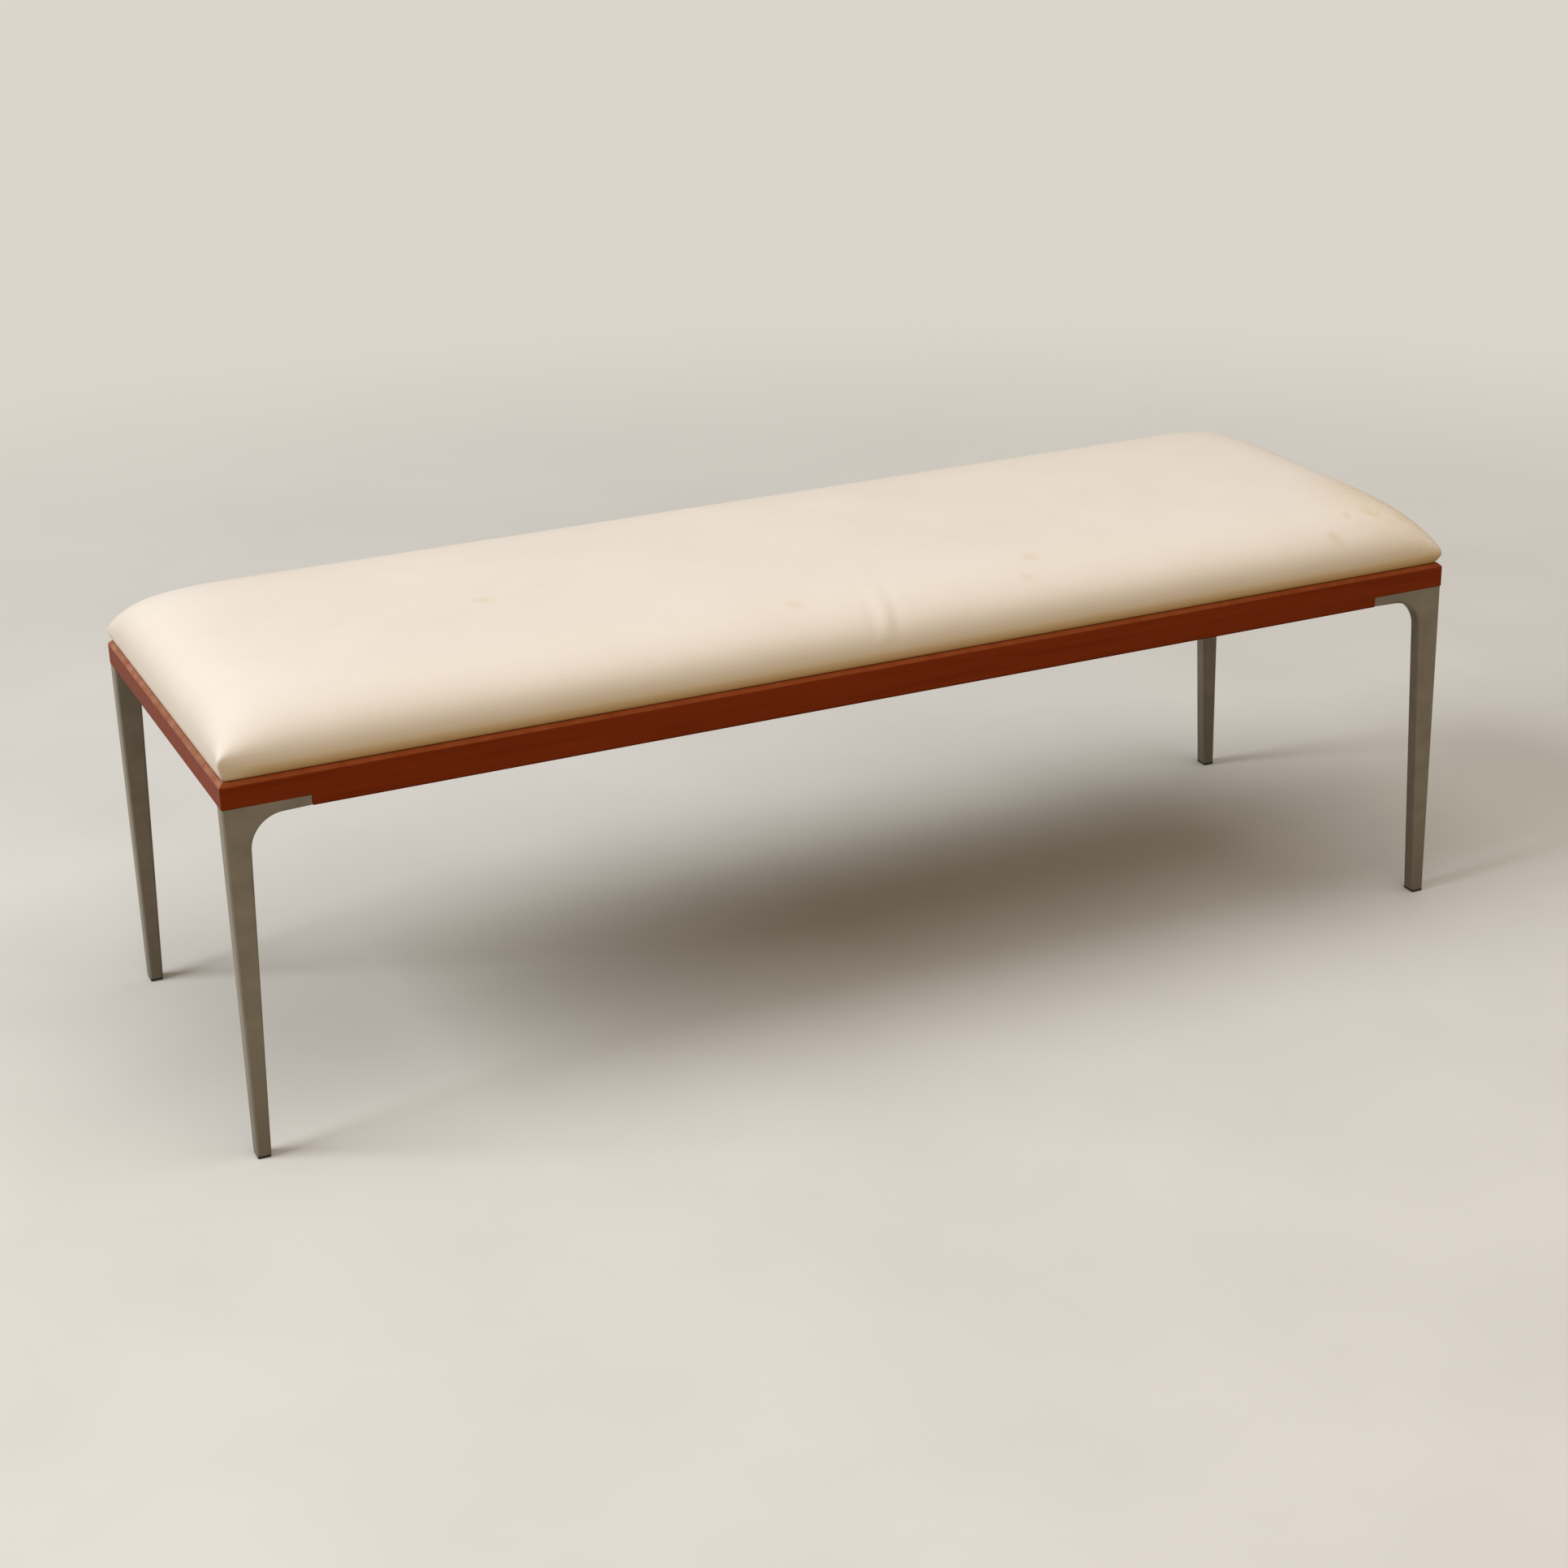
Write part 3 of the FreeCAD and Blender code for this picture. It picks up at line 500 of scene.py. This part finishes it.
FIRST_STEP = 0.5 * MM
STEP_GROWTH = 1.25
WIDEST_COLUMN = 4.5 * MM
WIDEST_ROW = 5.0 * MM
columns = across(HALF_LENGTH, FIRST_STEP, STEP_GROWTH, WIDEST_COLUMN)
rows = across(HALF_DEPTH, FIRST_STEP, STEP_GROWTH, WIDEST_ROW)
print("seat grid:", len(columns), "by", len(rows), "points")

# %% [markdown]
# ### The formula
# Each direction has its own profile: steep at the edge, then level. The two are joined so that the
# lower one rules near a corner. The outline is slightly rounded at the very corner and drawn out to a
# point, because folded cloth is thickest there.

# %% Raise the crown
def swell(share):
    """Height of a side's profile, from 0 at the edge to 1 once it is level."""
    share = np.clip(share, 0.0, 1.0)
    return (1 - (1 - share) ** STEEPNESS) ** (1 / FULLNESS)


def crown_height(from_end, from_side, lift, ridge):
    """Height above the rails at distances from the nearest end and side.

    A larger value of ridge makes a crisper line from the corner.
    """
    end = np.maximum(swell(from_end / END_REACH), 1e-6)
    side = np.maximum(swell(from_side / SIDE_REACH), 1e-6)
    joined = (end ** -ridge + side ** -ridge - 1) ** (-1 / ridge)
    rim = ROLL_HEIGHT + lift * np.exp(-(from_end + from_side) / LIFT_FADE)
    return rim + (CROWN - rim) * joined


def shape_corner(from_end, from_side):
    """Rounds the very corner of the outline and lets the corner reach a little further out."""
    level = np.minimum(from_end, from_side)
    run = np.maximum(from_end, from_side) - level
    radius = np.maximum(CORNER_RADIUS * np.exp(-(level / CORNER_FADE) ** 2), 1e-9)
    turn = np.clip(1 - run / radius, 0.0, 1.0) * math.pi / 4
    near = run < radius
    along = np.where(near, radius * (1 - np.sin(turn)), run)
    inward = np.where(near, radius * (1 - np.cos(turn)), 0.0)
    on_side = from_end >= from_side
    reach = CORNER_REACH * np.exp(-(from_end + from_side) / REACH_FADE)
    new_end = level + np.where(on_side, along, inward) - reach
    new_side = level + np.where(on_side, inward, along) - reach
    return new_end, new_side


def crowned_top(columns, rows):
    """The seat's upper surface as a grid of points."""
    grid_x, grid_y = np.meshgrid(columns, rows, indexing="ij")
    from_end = HALF_LENGTH - np.abs(grid_x)
    from_side = HALF_DEPTH - np.abs(grid_y)
    folded = (grid_x < 0) & (grid_y < 0)
    lift = np.where(folded, FOLDED_LIFT, np.where(grid_y < 0, FRONT_LIFT, BACK_LIFT))
    ridge = np.where(folded, FOLDED_RIDGE, SOFT_RIDGE)
    grid_z = RAIL_TOP + crown_height(from_end, from_side, lift, ridge)
    round_end, round_side = shape_corner(from_end, from_side)
    top_x = np.sign(grid_x) * (HALF_LENGTH - round_end)
    top_y = np.sign(grid_y) * (HALF_DEPTH - round_side)
    return np.stack([top_x, top_y, grid_z], -1)


def grid_faces(nx, ny):
    """Four-sided faces between the points of a grid, counted row by row."""
    starts = [i * ny + j for i in range(nx - 1) for j in range(ny - 1)]
    return [(here, here + ny, here + ny + 1, here + 1) for here in starts]


top = crowned_top(columns, rows)
print("crown:", round((top[..., 2].max() - RAIL_TOP) / MM, 1), "mm above the rails")

# %% [markdown]
# ## Drawing the cloth tight
# Real upholstery is never quite as regular as a formula: the cloth is stretched over springy foam and
# finds its own balance. A short cloth simulation does the same. The edge is pinned as the staples hold
# it, the padding presses outwards, and the cloth tightens. Padding swells, so it starts a little
# smaller, and how far a point may move is capped. A simulation of every fine point would take minutes,
# so a coarse copy settles instead and its movement is laid on the fine grid, smoothed.

# %% Let a coarse copy of the cloth settle
SETTLE_FRAMES = 20
PADDING_PRESSURE = 0.015
LARGEST_SHIFT = 3.0 * MM
START_SMALLER = 0.985
SMOOTHING = 8
COARSE_STEP = 3.0 * MM
COARSE_GROWTH = 1.35
COARSE_COLUMN = 15.0 * MM
COARSE_ROW = 13.0 * MM


def settle(places):
    """Runs the cloth over a grid of places for a few frames and returns where its points went."""
    nx, ny = places.shape[:2]
    mesh = bpy.data.meshes.new("settling_cloth")
    mesh.from_pydata([tuple(p) for p in places.reshape(-1, 3)], [], grid_faces(nx, ny))
    piece = bpy.data.objects.new("settling_cloth", mesh)
    scene.collection.objects.link(piece)
    rim = [i * ny + j for i in range(nx) for j in range(ny) if i in (0, nx - 1) or j in (0, ny - 1)]
    group = piece.vertex_groups.new(name="stapled_edge")
    group.add(rim, 1.0, "REPLACE")
    cloth = piece.modifiers.new("drawn_tight", "CLOTH")
    cloth.settings.vertex_group_mass = group.name
    cloth.settings.quality = 6
    cloth.settings.mass = 0.3
    cloth.settings.tension_stiffness = 30
    cloth.settings.compression_stiffness = 30
    cloth.settings.shear_stiffness = 12
    cloth.settings.bending_stiffness = 2
    cloth.settings.use_pressure = True
    cloth.settings.uniform_pressure_force = PADDING_PRESSURE
    cloth.settings.effector_weights.gravity = 0
    cloth.collision_settings.use_collision = False
    for step in range(1, SETTLE_FRAMES + 1):
        scene.frame_set(step)
    settled = piece.evaluated_get(bpy.context.evaluated_depsgraph_get())
    flat = np.zeros(nx * ny * 3)
    settled.data.vertices.foreach_get("co", flat)
    scene.frame_set(1)
    bpy.data.objects.remove(piece)
    bpy.data.meshes.remove(mesh)
    return flat.reshape(nx, ny, 3)


def lay_on(coarse, coarse_columns, coarse_rows):
    """Spreads values on the coarse grid over the fine one and smooths them."""
    wide = np.array([np.interp(rows, coarse_rows, line) for line in coarse])
    fine = np.array([np.interp(columns, coarse_columns, line) for line in wide.T]).T
    for _ in range(SMOOTHING):
        fine[1:-1] = (fine[:-2] + 2 * fine[1:-1] + fine[2:]) / 4
        fine[:, 1:-1] = (fine[:, :-2] + 2 * fine[:, 1:-1] + fine[:, 2:]) / 4
    return fine


coarse_columns = across(HALF_LENGTH, COARSE_STEP, COARSE_GROWTH, COARSE_COLUMN)
coarse_rows = across(HALF_DEPTH, COARSE_STEP, COARSE_GROWTH, COARSE_ROW)
full = crowned_top(coarse_columns, coarse_rows)
smaller = full.copy()
above = full[..., 2] - RAIL_TOP - ROLL_HEIGHT
smaller[..., 2] -= above * (1 - START_SMALLER)
moved = settle(smaller) - smaller
reach = np.linalg.norm(moved, axis=-1)
moved *= (np.minimum(reach, LARGEST_SHIFT) / np.maximum(reach, 1e-9))[..., None]
change = smaller + moved - full
for axis in range(3):
    top[..., axis] += lay_on(change[..., axis], coarse_columns, coarse_rows)
print("cloth moved by up to", round(reach.max() / MM, 1), "mm, mean", round(reach.mean() / MM, 2))
print("crown after settling:", round((top[..., 2].max() - RAIL_TOP) / MM, 1), "mm")

# %% [markdown]
# ## Rolled edge and hem
# Below its widest line the cloth rolls under the deck's edge and runs back as a flat hem, which the
# staples hold. The mesh goes on round the deck, so that the padding is one closed body with a recess
# in which the deck lies. Each ring is the seat's outline drawn in by a little more, and most at the
# corners, where the fold is tucked under.

# %% Close the seat round its deck
ROLL_TURNS = (10, 20, 32, 45, 60, 75, 90)
HEM_MIDDLE = 18.0 * MM
HEM_INSET = 44.0 * MM
CLOTH = 1.0 * MM
DECK_GAP = 0.2 * MM
deck_inset = HALF_LENGTH - deck_high.x - DECK_GAP

nx, ny = len(columns), len(rows)
edge = [(i, 0) for i in range(nx - 1)] + [(nx - 1, j) for j in range(ny - 1)]
edge += [(i, ny - 1) for i in range(nx - 1, 0, -1)] + [(0, j) for j in range(ny - 1, 0, -1)]
count = len(edge)
points = list(top.reshape(-1, 3))
loops = [[i * ny + j for i, j in edge]]
outline = np.array([top[i, j] for i, j in edge])
rim_height = outline[:, 2] - RAIL_TOP
from_corner = [HALF_LENGTH - abs(columns[i]) + HALF_DEPTH - abs(rows[j]) for i, j in edge]
tuck = CORNER_TUCK * np.exp(-np.array(from_corner) / REACH_FADE)

rings = []
for degrees in ROLL_TURNS:
    angle = math.radians(degrees)
    inset = ROLL_INSET * (1 - math.cos(angle)) + tuck * math.sin(angle)
    rings.append((inset, rim_height * (1 - math.sin(angle))))
recess = deck_high.z + DECK_GAP - RAIL_TOP
level_rings = [(HEM_MIDDLE, 0.0), (HEM_INSET, 0.0), (HEM_INSET, CLOTH), (deck_inset, CLOTH),
               (deck_inset, recess)]
for inset, rise in level_rings:
    rings.append((np.full(count, inset), np.full(count, rise)))
for inset, rise in rings:
    drawn_in = outline.copy()
    drawn_in[:, 0] *= 1 - inset / HALF_LENGTH
    drawn_in[:, 1] *= 1 - inset / HALF_DEPTH
    drawn_in[:, 2] = RAIL_TOP + rise
    loops.append(list(range(len(points), len(points) + count)))
    points.extend(drawn_in)

faces = grid_faces(nx, ny)
for upper, lower in zip(loops, loops[1:]):
    for k in range(count):
        faces.append((upper[k], lower[k], lower[(k + 1) % count], upper[(k + 1) % count]))
faces.append(tuple(reversed(loops[-1])))

seat_mesh = bpy.data.meshes.new("padded_seat")
seat_mesh.from_pydata([tuple(p) for p in points], [], faces)
seat = bpy.data.objects.new("padded_seat", seat_mesh)
scene.collection.objects.link(seat)
print("seat:", len(points), "points,", len(faces), "faces")

# %% [markdown]
# ## Marks of the hand
# The photograph shows one soft pucker in the middle of the front, where the cloth was gathered: a low
# ridge with a crease on each side. Elsewhere the padding is even to within a millimetre, with broad
# swells that only the light shows.

# %% Add the pucker and the swells
PUCKER_X = 10.0 * MM
PUCKER_WIDTH = 7.0 * MM
PUCKER_RISE = 1.0 * MM
PUCKER_MIDDLE = 43.0 * MM
PUCKER_TALL = 17.0 * MM
PUCKER_PIVOT = 40.0 * MM
PUCKER_LEAN = 0.25
CREASE_DEPTH = 0.62
CREASE_PLACE = 1.9
CREASE_WIDTH = 0.9
FRONT_SIDE = -0.12
SWELL_RISE = 0.15 * MM
FREE_FROM_EDGE = 12.0 * MM


def hand_made(place):
    """How far a point is pushed outwards, for places given as rows of x, y and z."""
    x, y, z = place[:, 0], place[:, 1], place[:, 2] - RAIL_TOP
    # The swells are about 300 mm long and bend a little.
    broad = np.sin(x * 21.0 + 1.3 * np.sin(y * 17.0)) * np.cos(y * 19.0 + x * 6.0)
    lean = PUCKER_X + (z - PUCKER_PIVOT) * PUCKER_LEAN
    offset = (x - lean) / PUCKER_WIDTH
    crease = np.exp(-((np.abs(offset) - CREASE_PLACE) / CREASE_WIDTH) ** 2)
    ridge = np.exp(-offset ** 2) - CREASE_DEPTH * crease
    tall = np.exp(-((z - PUCKER_MIDDLE) / PUCKER_TALL) ** 2) * (y < FRONT_SIDE)
    return SWELL_RISE * broad + PUCKER_RISE * ridge * tall


drawn = np.array(points)
normals = np.zeros(len(points) * 3)
seat_mesh.vertex_normals.foreach_get("vector", normals)
free = np.zeros(len(points))
above_roll = drawn[: nx * ny, 2] - RAIL_TOP - ROLL_HEIGHT
free[: nx * ny] = np.clip(above_roll / FREE_FROM_EDGE, 0, 1)
drawn = drawn + normals.reshape(-1, 3) * (hand_made(drawn) * free)[:, None]
seat_mesh.vertices.foreach_set("co", drawn.ravel())
seat_mesh.polygons.foreach_set("use_smooth", [True] * len(faces))
seat_mesh.update()
print("seat spans", [round(side / MM, 1) for side in drawn.max(0) - drawn.min(0)], "mm")

# %% [markdown]
# ### Flat pattern
# A weave has to follow the cloth, not the room. So each point of the seat gets two lengths, measured
# along the surface from the middle of the cloth, as if the cover were taken off and laid flat.

# %% Lay out the flat pattern of the cloth
def run_along(places):
    """Signed lengths along a row of points, zero in the middle."""
    lengths = np.concatenate([[0.0], np.cumsum(np.linalg.norm(np.diff(places, axis=0), axis=1))])
    return lengths - lengths[len(lengths) // 2]


cut_u = run_along(top[:, ny // 2])
cut_v = run_along(top[nx // 2, :])
pattern = np.zeros((len(points), 2))
pattern[: nx * ny, 0] = np.repeat(cut_u, ny)
pattern[: nx * ny, 1] = np.tile(cut_v, nx)
for upper, lower in zip(loops, loops[1:]):
    for k, (i, j) in enumerate(edge):
        step = np.linalg.norm(drawn[lower[k]] - drawn[upper[k]])
        outward = np.array([(i == nx - 1) - (i == 0), (j == ny - 1) - (j == 0)], float)
        pattern[lower[k]] = pattern[upper[k]] + step * outward
flat_map = seat_mesh.uv_layers.new(name="flat_pattern")
corner_points = np.zeros(len(seat_mesh.loops), int)
seat_mesh.loops.foreach_get("vertex_index", corner_points)
flat_map.data.foreach_set("uv", pattern[corner_points].ravel())
print("cloth cut:", [round(side / MM) for side in np.ptp(pattern, axis=0)], "mm")

# %% [markdown]
# ## Cream cloth
# The cover is a fine, matt, tightly woven cream cloth. From a step away no thread shows: the eye gets a
# chalky surface without any highlight, slightly warmer where light grazes it, and a few faint yellow
# marks from use. Warm painted shade lies along the lowest part and painted warm light on the right
# end. Its threads are about 0.7 mm apart; they are drawn at 1.4 mm, twice as coarse, because finer
# ones would vanish between the picture's pixels.

# %% Weave the cloth
THREAD = 1.4 * MM
WAVE_LENGTH = math.tau / 20
WARM_SHADE_START = 21.0 * MM
WARM_SHADE_FULL = 1.0 * MM
SHADED_FROM_END_START = 4.0 * MM
SHADED_FROM_END_FULL = 40.0 * MM
STAINS_AND_WARM_LIGHT = [
    # x, y, z and radius in metres, and strength
    (-0.357, -0.042, 0.465, 0.016, 0.42),
    (-0.074, -0.183, 0.456, 0.012, 0.42),
    (0.205, -0.167, 0.460, 0.013, 0.42),
    (0.183, -0.200, 0.450, 0.010, 0.42),
    (0.553, -0.214, 0.441, 0.010, 0.55),
    (0.557, -0.220, 0.435, 0.009, 0.42),
    (0.585, -0.190, 0.454, 0.009, 0.40),
    (0.614, -0.188, 0.453, 0.011, 0.55),
    (0.621, -0.193, 0.450, 0.009, 0.45),
    # The last, wide mark is no stain but painted warm light on the seat's right end.
    (0.672, -0.150, 0.430, 0.130, 0.72),
]


def cream_cloth():
    """Plain weave in cream yarn, with yarns of slightly different tone, a few stains and painted shade
    and warm light.
    """
    material, tree, shader = start_material("cotton cloth, plain woven, cream")
    place = add_node(tree, "TexCoord")
    threads = []
    for direction in ("X", "Y"):
        wave = add_node(tree, "TexWave", {"bands_direction": direction}, Vector=place.outputs["UV"],
                        Scale=WAVE_LENGTH / (2 * THREAD), Distortion=0.4, Detail=1.0,
                        Detail_Scale=2.0)
        threads.append(wave.outputs["Fac"])
    weave = multiply(tree, threads[0], threads[1])
    slub_scale = Vector((1 / (60 * MM), 1 / (1.6 * MM), 1))
    slub_place = add_node(tree, "Mapping", Vector=place.outputs["UV"], Scale=slub_scale)
    slub = add_node(tree, "TexNoise", Vector=slub_place.outputs["Vector"], Scale=1.0,
                    Detail=2.0).outputs["Fac"]
    spot = place.outputs["Object"]
    cloudy = add_node(tree, "TexNoise", Vector=spot, Scale=1 / (130 * MM), Detail=4.0).outputs["Fac"]
    tone = add_node(tree, "Mix", {"data_type": "FLOAT"}, Factor=0.35, _2=cloudy, _3=slub)
    creams = [(0.30, "#EBE1D8"), (0.70, "#F1E9E2")]
    cream = add_node(tree, "ValToRGB", stops=creams, Fac=tone.outputs["Result"]).outputs["Color"]
    # Painted shade darkens the gaps between the threads.
    thread_gap_shade = add_node(tree, "MapRange", Value=weave, To_Min=0.10, To_Max=0.0).outputs["Result"]
    cream = tint(tree, thread_gap_shade, cream, "#C9B694")
    blurred = add_node(tree, "TexNoise", Vector=spot, Scale=1 / (9 * MM), Detail=3.0).outputs["Fac"]
    for x, y, z, radius, strength in STAINS_AND_WARM_LIGHT:
        away = add_node(tree, "VectorMath", {"operation": "DISTANCE"}, _0=spot, _1=(x, y, z))
        near = add_node(tree, "MapRange", {"interpolation_type": "SMOOTHSTEP"},
                        Value=away.outputs["Value"], From_Min=radius, From_Max=0.2 * radius,
                        To_Max=strength).outputs["Result"]
        cream = tint(tree, multiply(tree, near, blurred), cream, "#D9BE8A")
    # Painted warm shade tints the lowest part, less at the left end, which the window lights.
    axes = add_node(tree, "SeparateXYZ", Vector=spot).outputs
    low = add_node(tree, "MapRange", {"interpolation_type": "SMOOTHSTEP"}, Value=axes["Z"],
                   From_Min=RAIL_TOP + WARM_SHADE_START, From_Max=RAIL_TOP + WARM_SHADE_FULL,
                   To_Max=0.85).outputs["Result"]
    beyond_lit_end = add_node(tree, "MapRange", Value=axes["X"], From_Min=SHADED_FROM_END_START - HALF_LENGTH,
                       From_Max=SHADED_FROM_END_FULL - HALF_LENGTH).outputs["Result"]
    cream = tint(tree, multiply(tree, low, beyond_lit_end), cream, "#CBAE7C")
    tree.links.new(cream, shader.inputs["Base Color"])
    relief = add_node(tree, "Bump", Height=weave, Strength=0.25, Distance=0.15 * MM)
    tree.links.new(relief.outputs["Normal"], shader.inputs["Normal"])
    shader.inputs["Roughness"].default_value = 0.88
    shader.inputs["Specular IOR Level"].default_value = 0.25
    shader.inputs["Sheen Weight"].default_value = 0.12
    shader.inputs["Sheen Roughness"].default_value = 0.5
    shader.inputs["Sheen Tint"].default_value = linear("#F6EEDF")
    return material


seat_mesh.materials.append(cream_cloth())
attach(seat, "root")
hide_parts("seat_cover", "wadding", "foam_core")
print("seat dressed in", seat_mesh.materials[0].name)

# %% [markdown]
# ## Underneath
# A black non-woven cloth closes the seat from below. It is stretched under the deck, so it is almost
# flat, and sags by a millimetre or so between the cross pieces.

# %% Stretch the dust cloth
dust_low, dust_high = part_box("dust_cover")
stretcher_low, stretcher_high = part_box("stretcher_right")
DUST_CORNER = 55.0 * MM
SAG = 1.2 * MM
STEP = 14.0 * MM
BELOW_DECK = 0.1 * MM


def dust_sag(x, y):
    """How far the cloth hangs, zero at its edges and over the cross pieces."""
    inner, outer = stretcher_low.x, stretcher_high.x
    if abs(x) < inner:
        share = 1 - (x / inner) ** 2
    elif abs(x) < outer:
        share = 0.0
    else:
        middle, half_bay = (outer + dust_high.x) / 2, (dust_high.x - outer) / 2
        share = 1 - ((abs(x) - middle) / half_bay) ** 2
    return SAG * max(share, 0.0) * (1 - (y / dust_high.y) ** 2)


def dust_edge(x):
    """Half the cloth's depth at a place along it, less at the clipped corners."""
    return dust_high.y - max(0.0, abs(x) - (dust_high.x - DUST_CORNER))


dust_shape = bmesh.new()
dust_columns = int(2 * dust_high.x / STEP)
dust_rows = 24
lattice = []
for i in range(dust_columns + 1):
    x = dust_low.x + (dust_high.x - dust_low.x) * i / dust_columns
    line = []
    for j in range(dust_rows + 1):
        y = dust_edge(x) * (2 * j / dust_rows - 1)
        line.append(dust_shape.verts.new((x, y, dust_high.z - BELOW_DECK - dust_sag(x, y))))
    lattice.append(line)
for before, after in zip(lattice, lattice[1:]):
    for j in range(dust_rows):
        dust_shape.faces.new((before[j], before[j + 1], after[j + 1], after[j]))
dust_mesh = bpy.data.meshes.new("dust_cloth")
dust_shape.to_mesh(dust_mesh)
dust_shape.free()
dust_mesh.polygons.foreach_set("use_smooth", [True] * len(dust_mesh.polygons))
dust = bpy.data.objects.new("dust_cloth", dust_mesh)
scene.collection.objects.link(dust)
print("dust cloth:", len(dust_mesh.vertices), "points,", len(dust_mesh.polygons), "faces")

# %% [markdown]
# ### Spun-bonded cloth
# The dust cloth is spun-bonded polypropylene: black, hair-fine fibres without a weave, pressed together
# at a grid of small dots, which give it a faint texture and no gloss.

# %% Finish the dust cloth
dust_felt, tree, shader = start_material("polypropylene cloth, spun-bonded black")
place = add_node(tree, "TexCoord").outputs["Object"]
# The bonding points are a grid of small pressed dots, 2.5 mm apart.
dots = add_node(tree, "TexVoronoi", {"feature": "F1"}, Vector=place, Scale=1 / (2.5 * MM),
                Randomness=0.15)
hair = add_node(tree, "TexNoise", Vector=place, Scale=1 / (4 * MM), Detail=5.0)
blacks = [(0.3, "#131313"), (0.7, "#2B2A29")]
felt = add_node(tree, "ValToRGB", stops=blacks, Fac=hair.outputs["Fac"])
tree.links.new(felt.outputs["Color"], shader.inputs["Base Color"])
pressed = add_node(tree, "Bump", Height=dots.outputs["Distance"], Strength=0.4, Distance=0.3 * MM)
tree.links.new(pressed.outputs["Normal"], shader.inputs["Normal"])
shader.inputs["Roughness"].default_value = 0.8
shader.inputs["Sheen Weight"].default_value = 0.2
dust_mesh.materials.append(dust_felt)
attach(dust, "root")
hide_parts("dust_cover")

# %% [markdown]
# ### Staples
# Flat wire staples, 10 mm wide, hold the hem. They are driven by hand, a few centimetres apart and
# never quite straight, and they stop short of the corner blocks and the cross pieces.

# %% Drive the staples
STAPLE_CROWN = 10.0 * MM
STAPLE_WIRE = 1.2 * MM
STAPLE_SINK = 0.3 * MM
STAPLE_PITCH = 38.0 * MM
STAPLE_INSET = 35.0 * MM
STAPLE_CLEAR = 85.0 * MM
STAPLE_ROUND = 0.25 * MM
STAPLE_FLATNESS = 0.6
STAPLE_LEAN = 0.12
CROSS_PIECE_CLEAR = 45.0 * MM
chance = np.random.default_rng(7)


def staple_spots():
    """Where the staples sit along the hem, clear of blocks and cross pieces, and how they turn."""
    half_x = HALF_LENGTH - STAPLE_INSET
    half_y = HALF_DEPTH - STAPLE_INSET
    spots = []
    cross_piece = (stretcher_low.x + stretcher_high.x) / 2
    for x in np.arange(-half_x + STAPLE_CLEAR, half_x - STAPLE_CLEAR, STAPLE_PITCH):
        if abs(abs(x) - cross_piece) > CROSS_PIECE_CLEAR:
            spots += [(x, -half_y, 0.0), (x, half_y, 0.0)]
    for y in np.arange(-half_y + STAPLE_CLEAR, half_y - STAPLE_CLEAR, STAPLE_PITCH):
        spots += [(-half_x, y, math.pi / 2), (half_x, y, math.pi / 2)]
    return spots


spots = staple_spots()
staple_shape = bmesh.new()
for x, y, turn in spots:
    lean = Matrix.Rotation(turn + chance.normal(0, STAPLE_LEAN), 4, "Z")
    centre = Matrix.Translation((x, y, RAIL_TOP + STAPLE_SINK - STAPLE_WIRE / 2))
    size = Matrix.Diagonal((STAPLE_CROWN, STAPLE_WIRE, STAPLE_WIRE * STAPLE_FLATNESS, 1))
    bmesh.ops.create_cube(staple_shape, size=1, matrix=centre @ lean @ size)
staple_mesh = bpy.data.meshes.new("hem_staples")
bmesh.ops.bevel(staple_shape, geom=staple_shape.edges[:], offset=STAPLE_ROUND, segments=2,
                affect="EDGES")
staple_shape.to_mesh(staple_mesh)
staple_shape.free()
staple_mesh.materials.append(steel)
staples = bpy.data.objects.new("hem_staples", staple_mesh)
scene.collection.objects.link(staples)
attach(staples, "root")
print("staples:", len(spots))
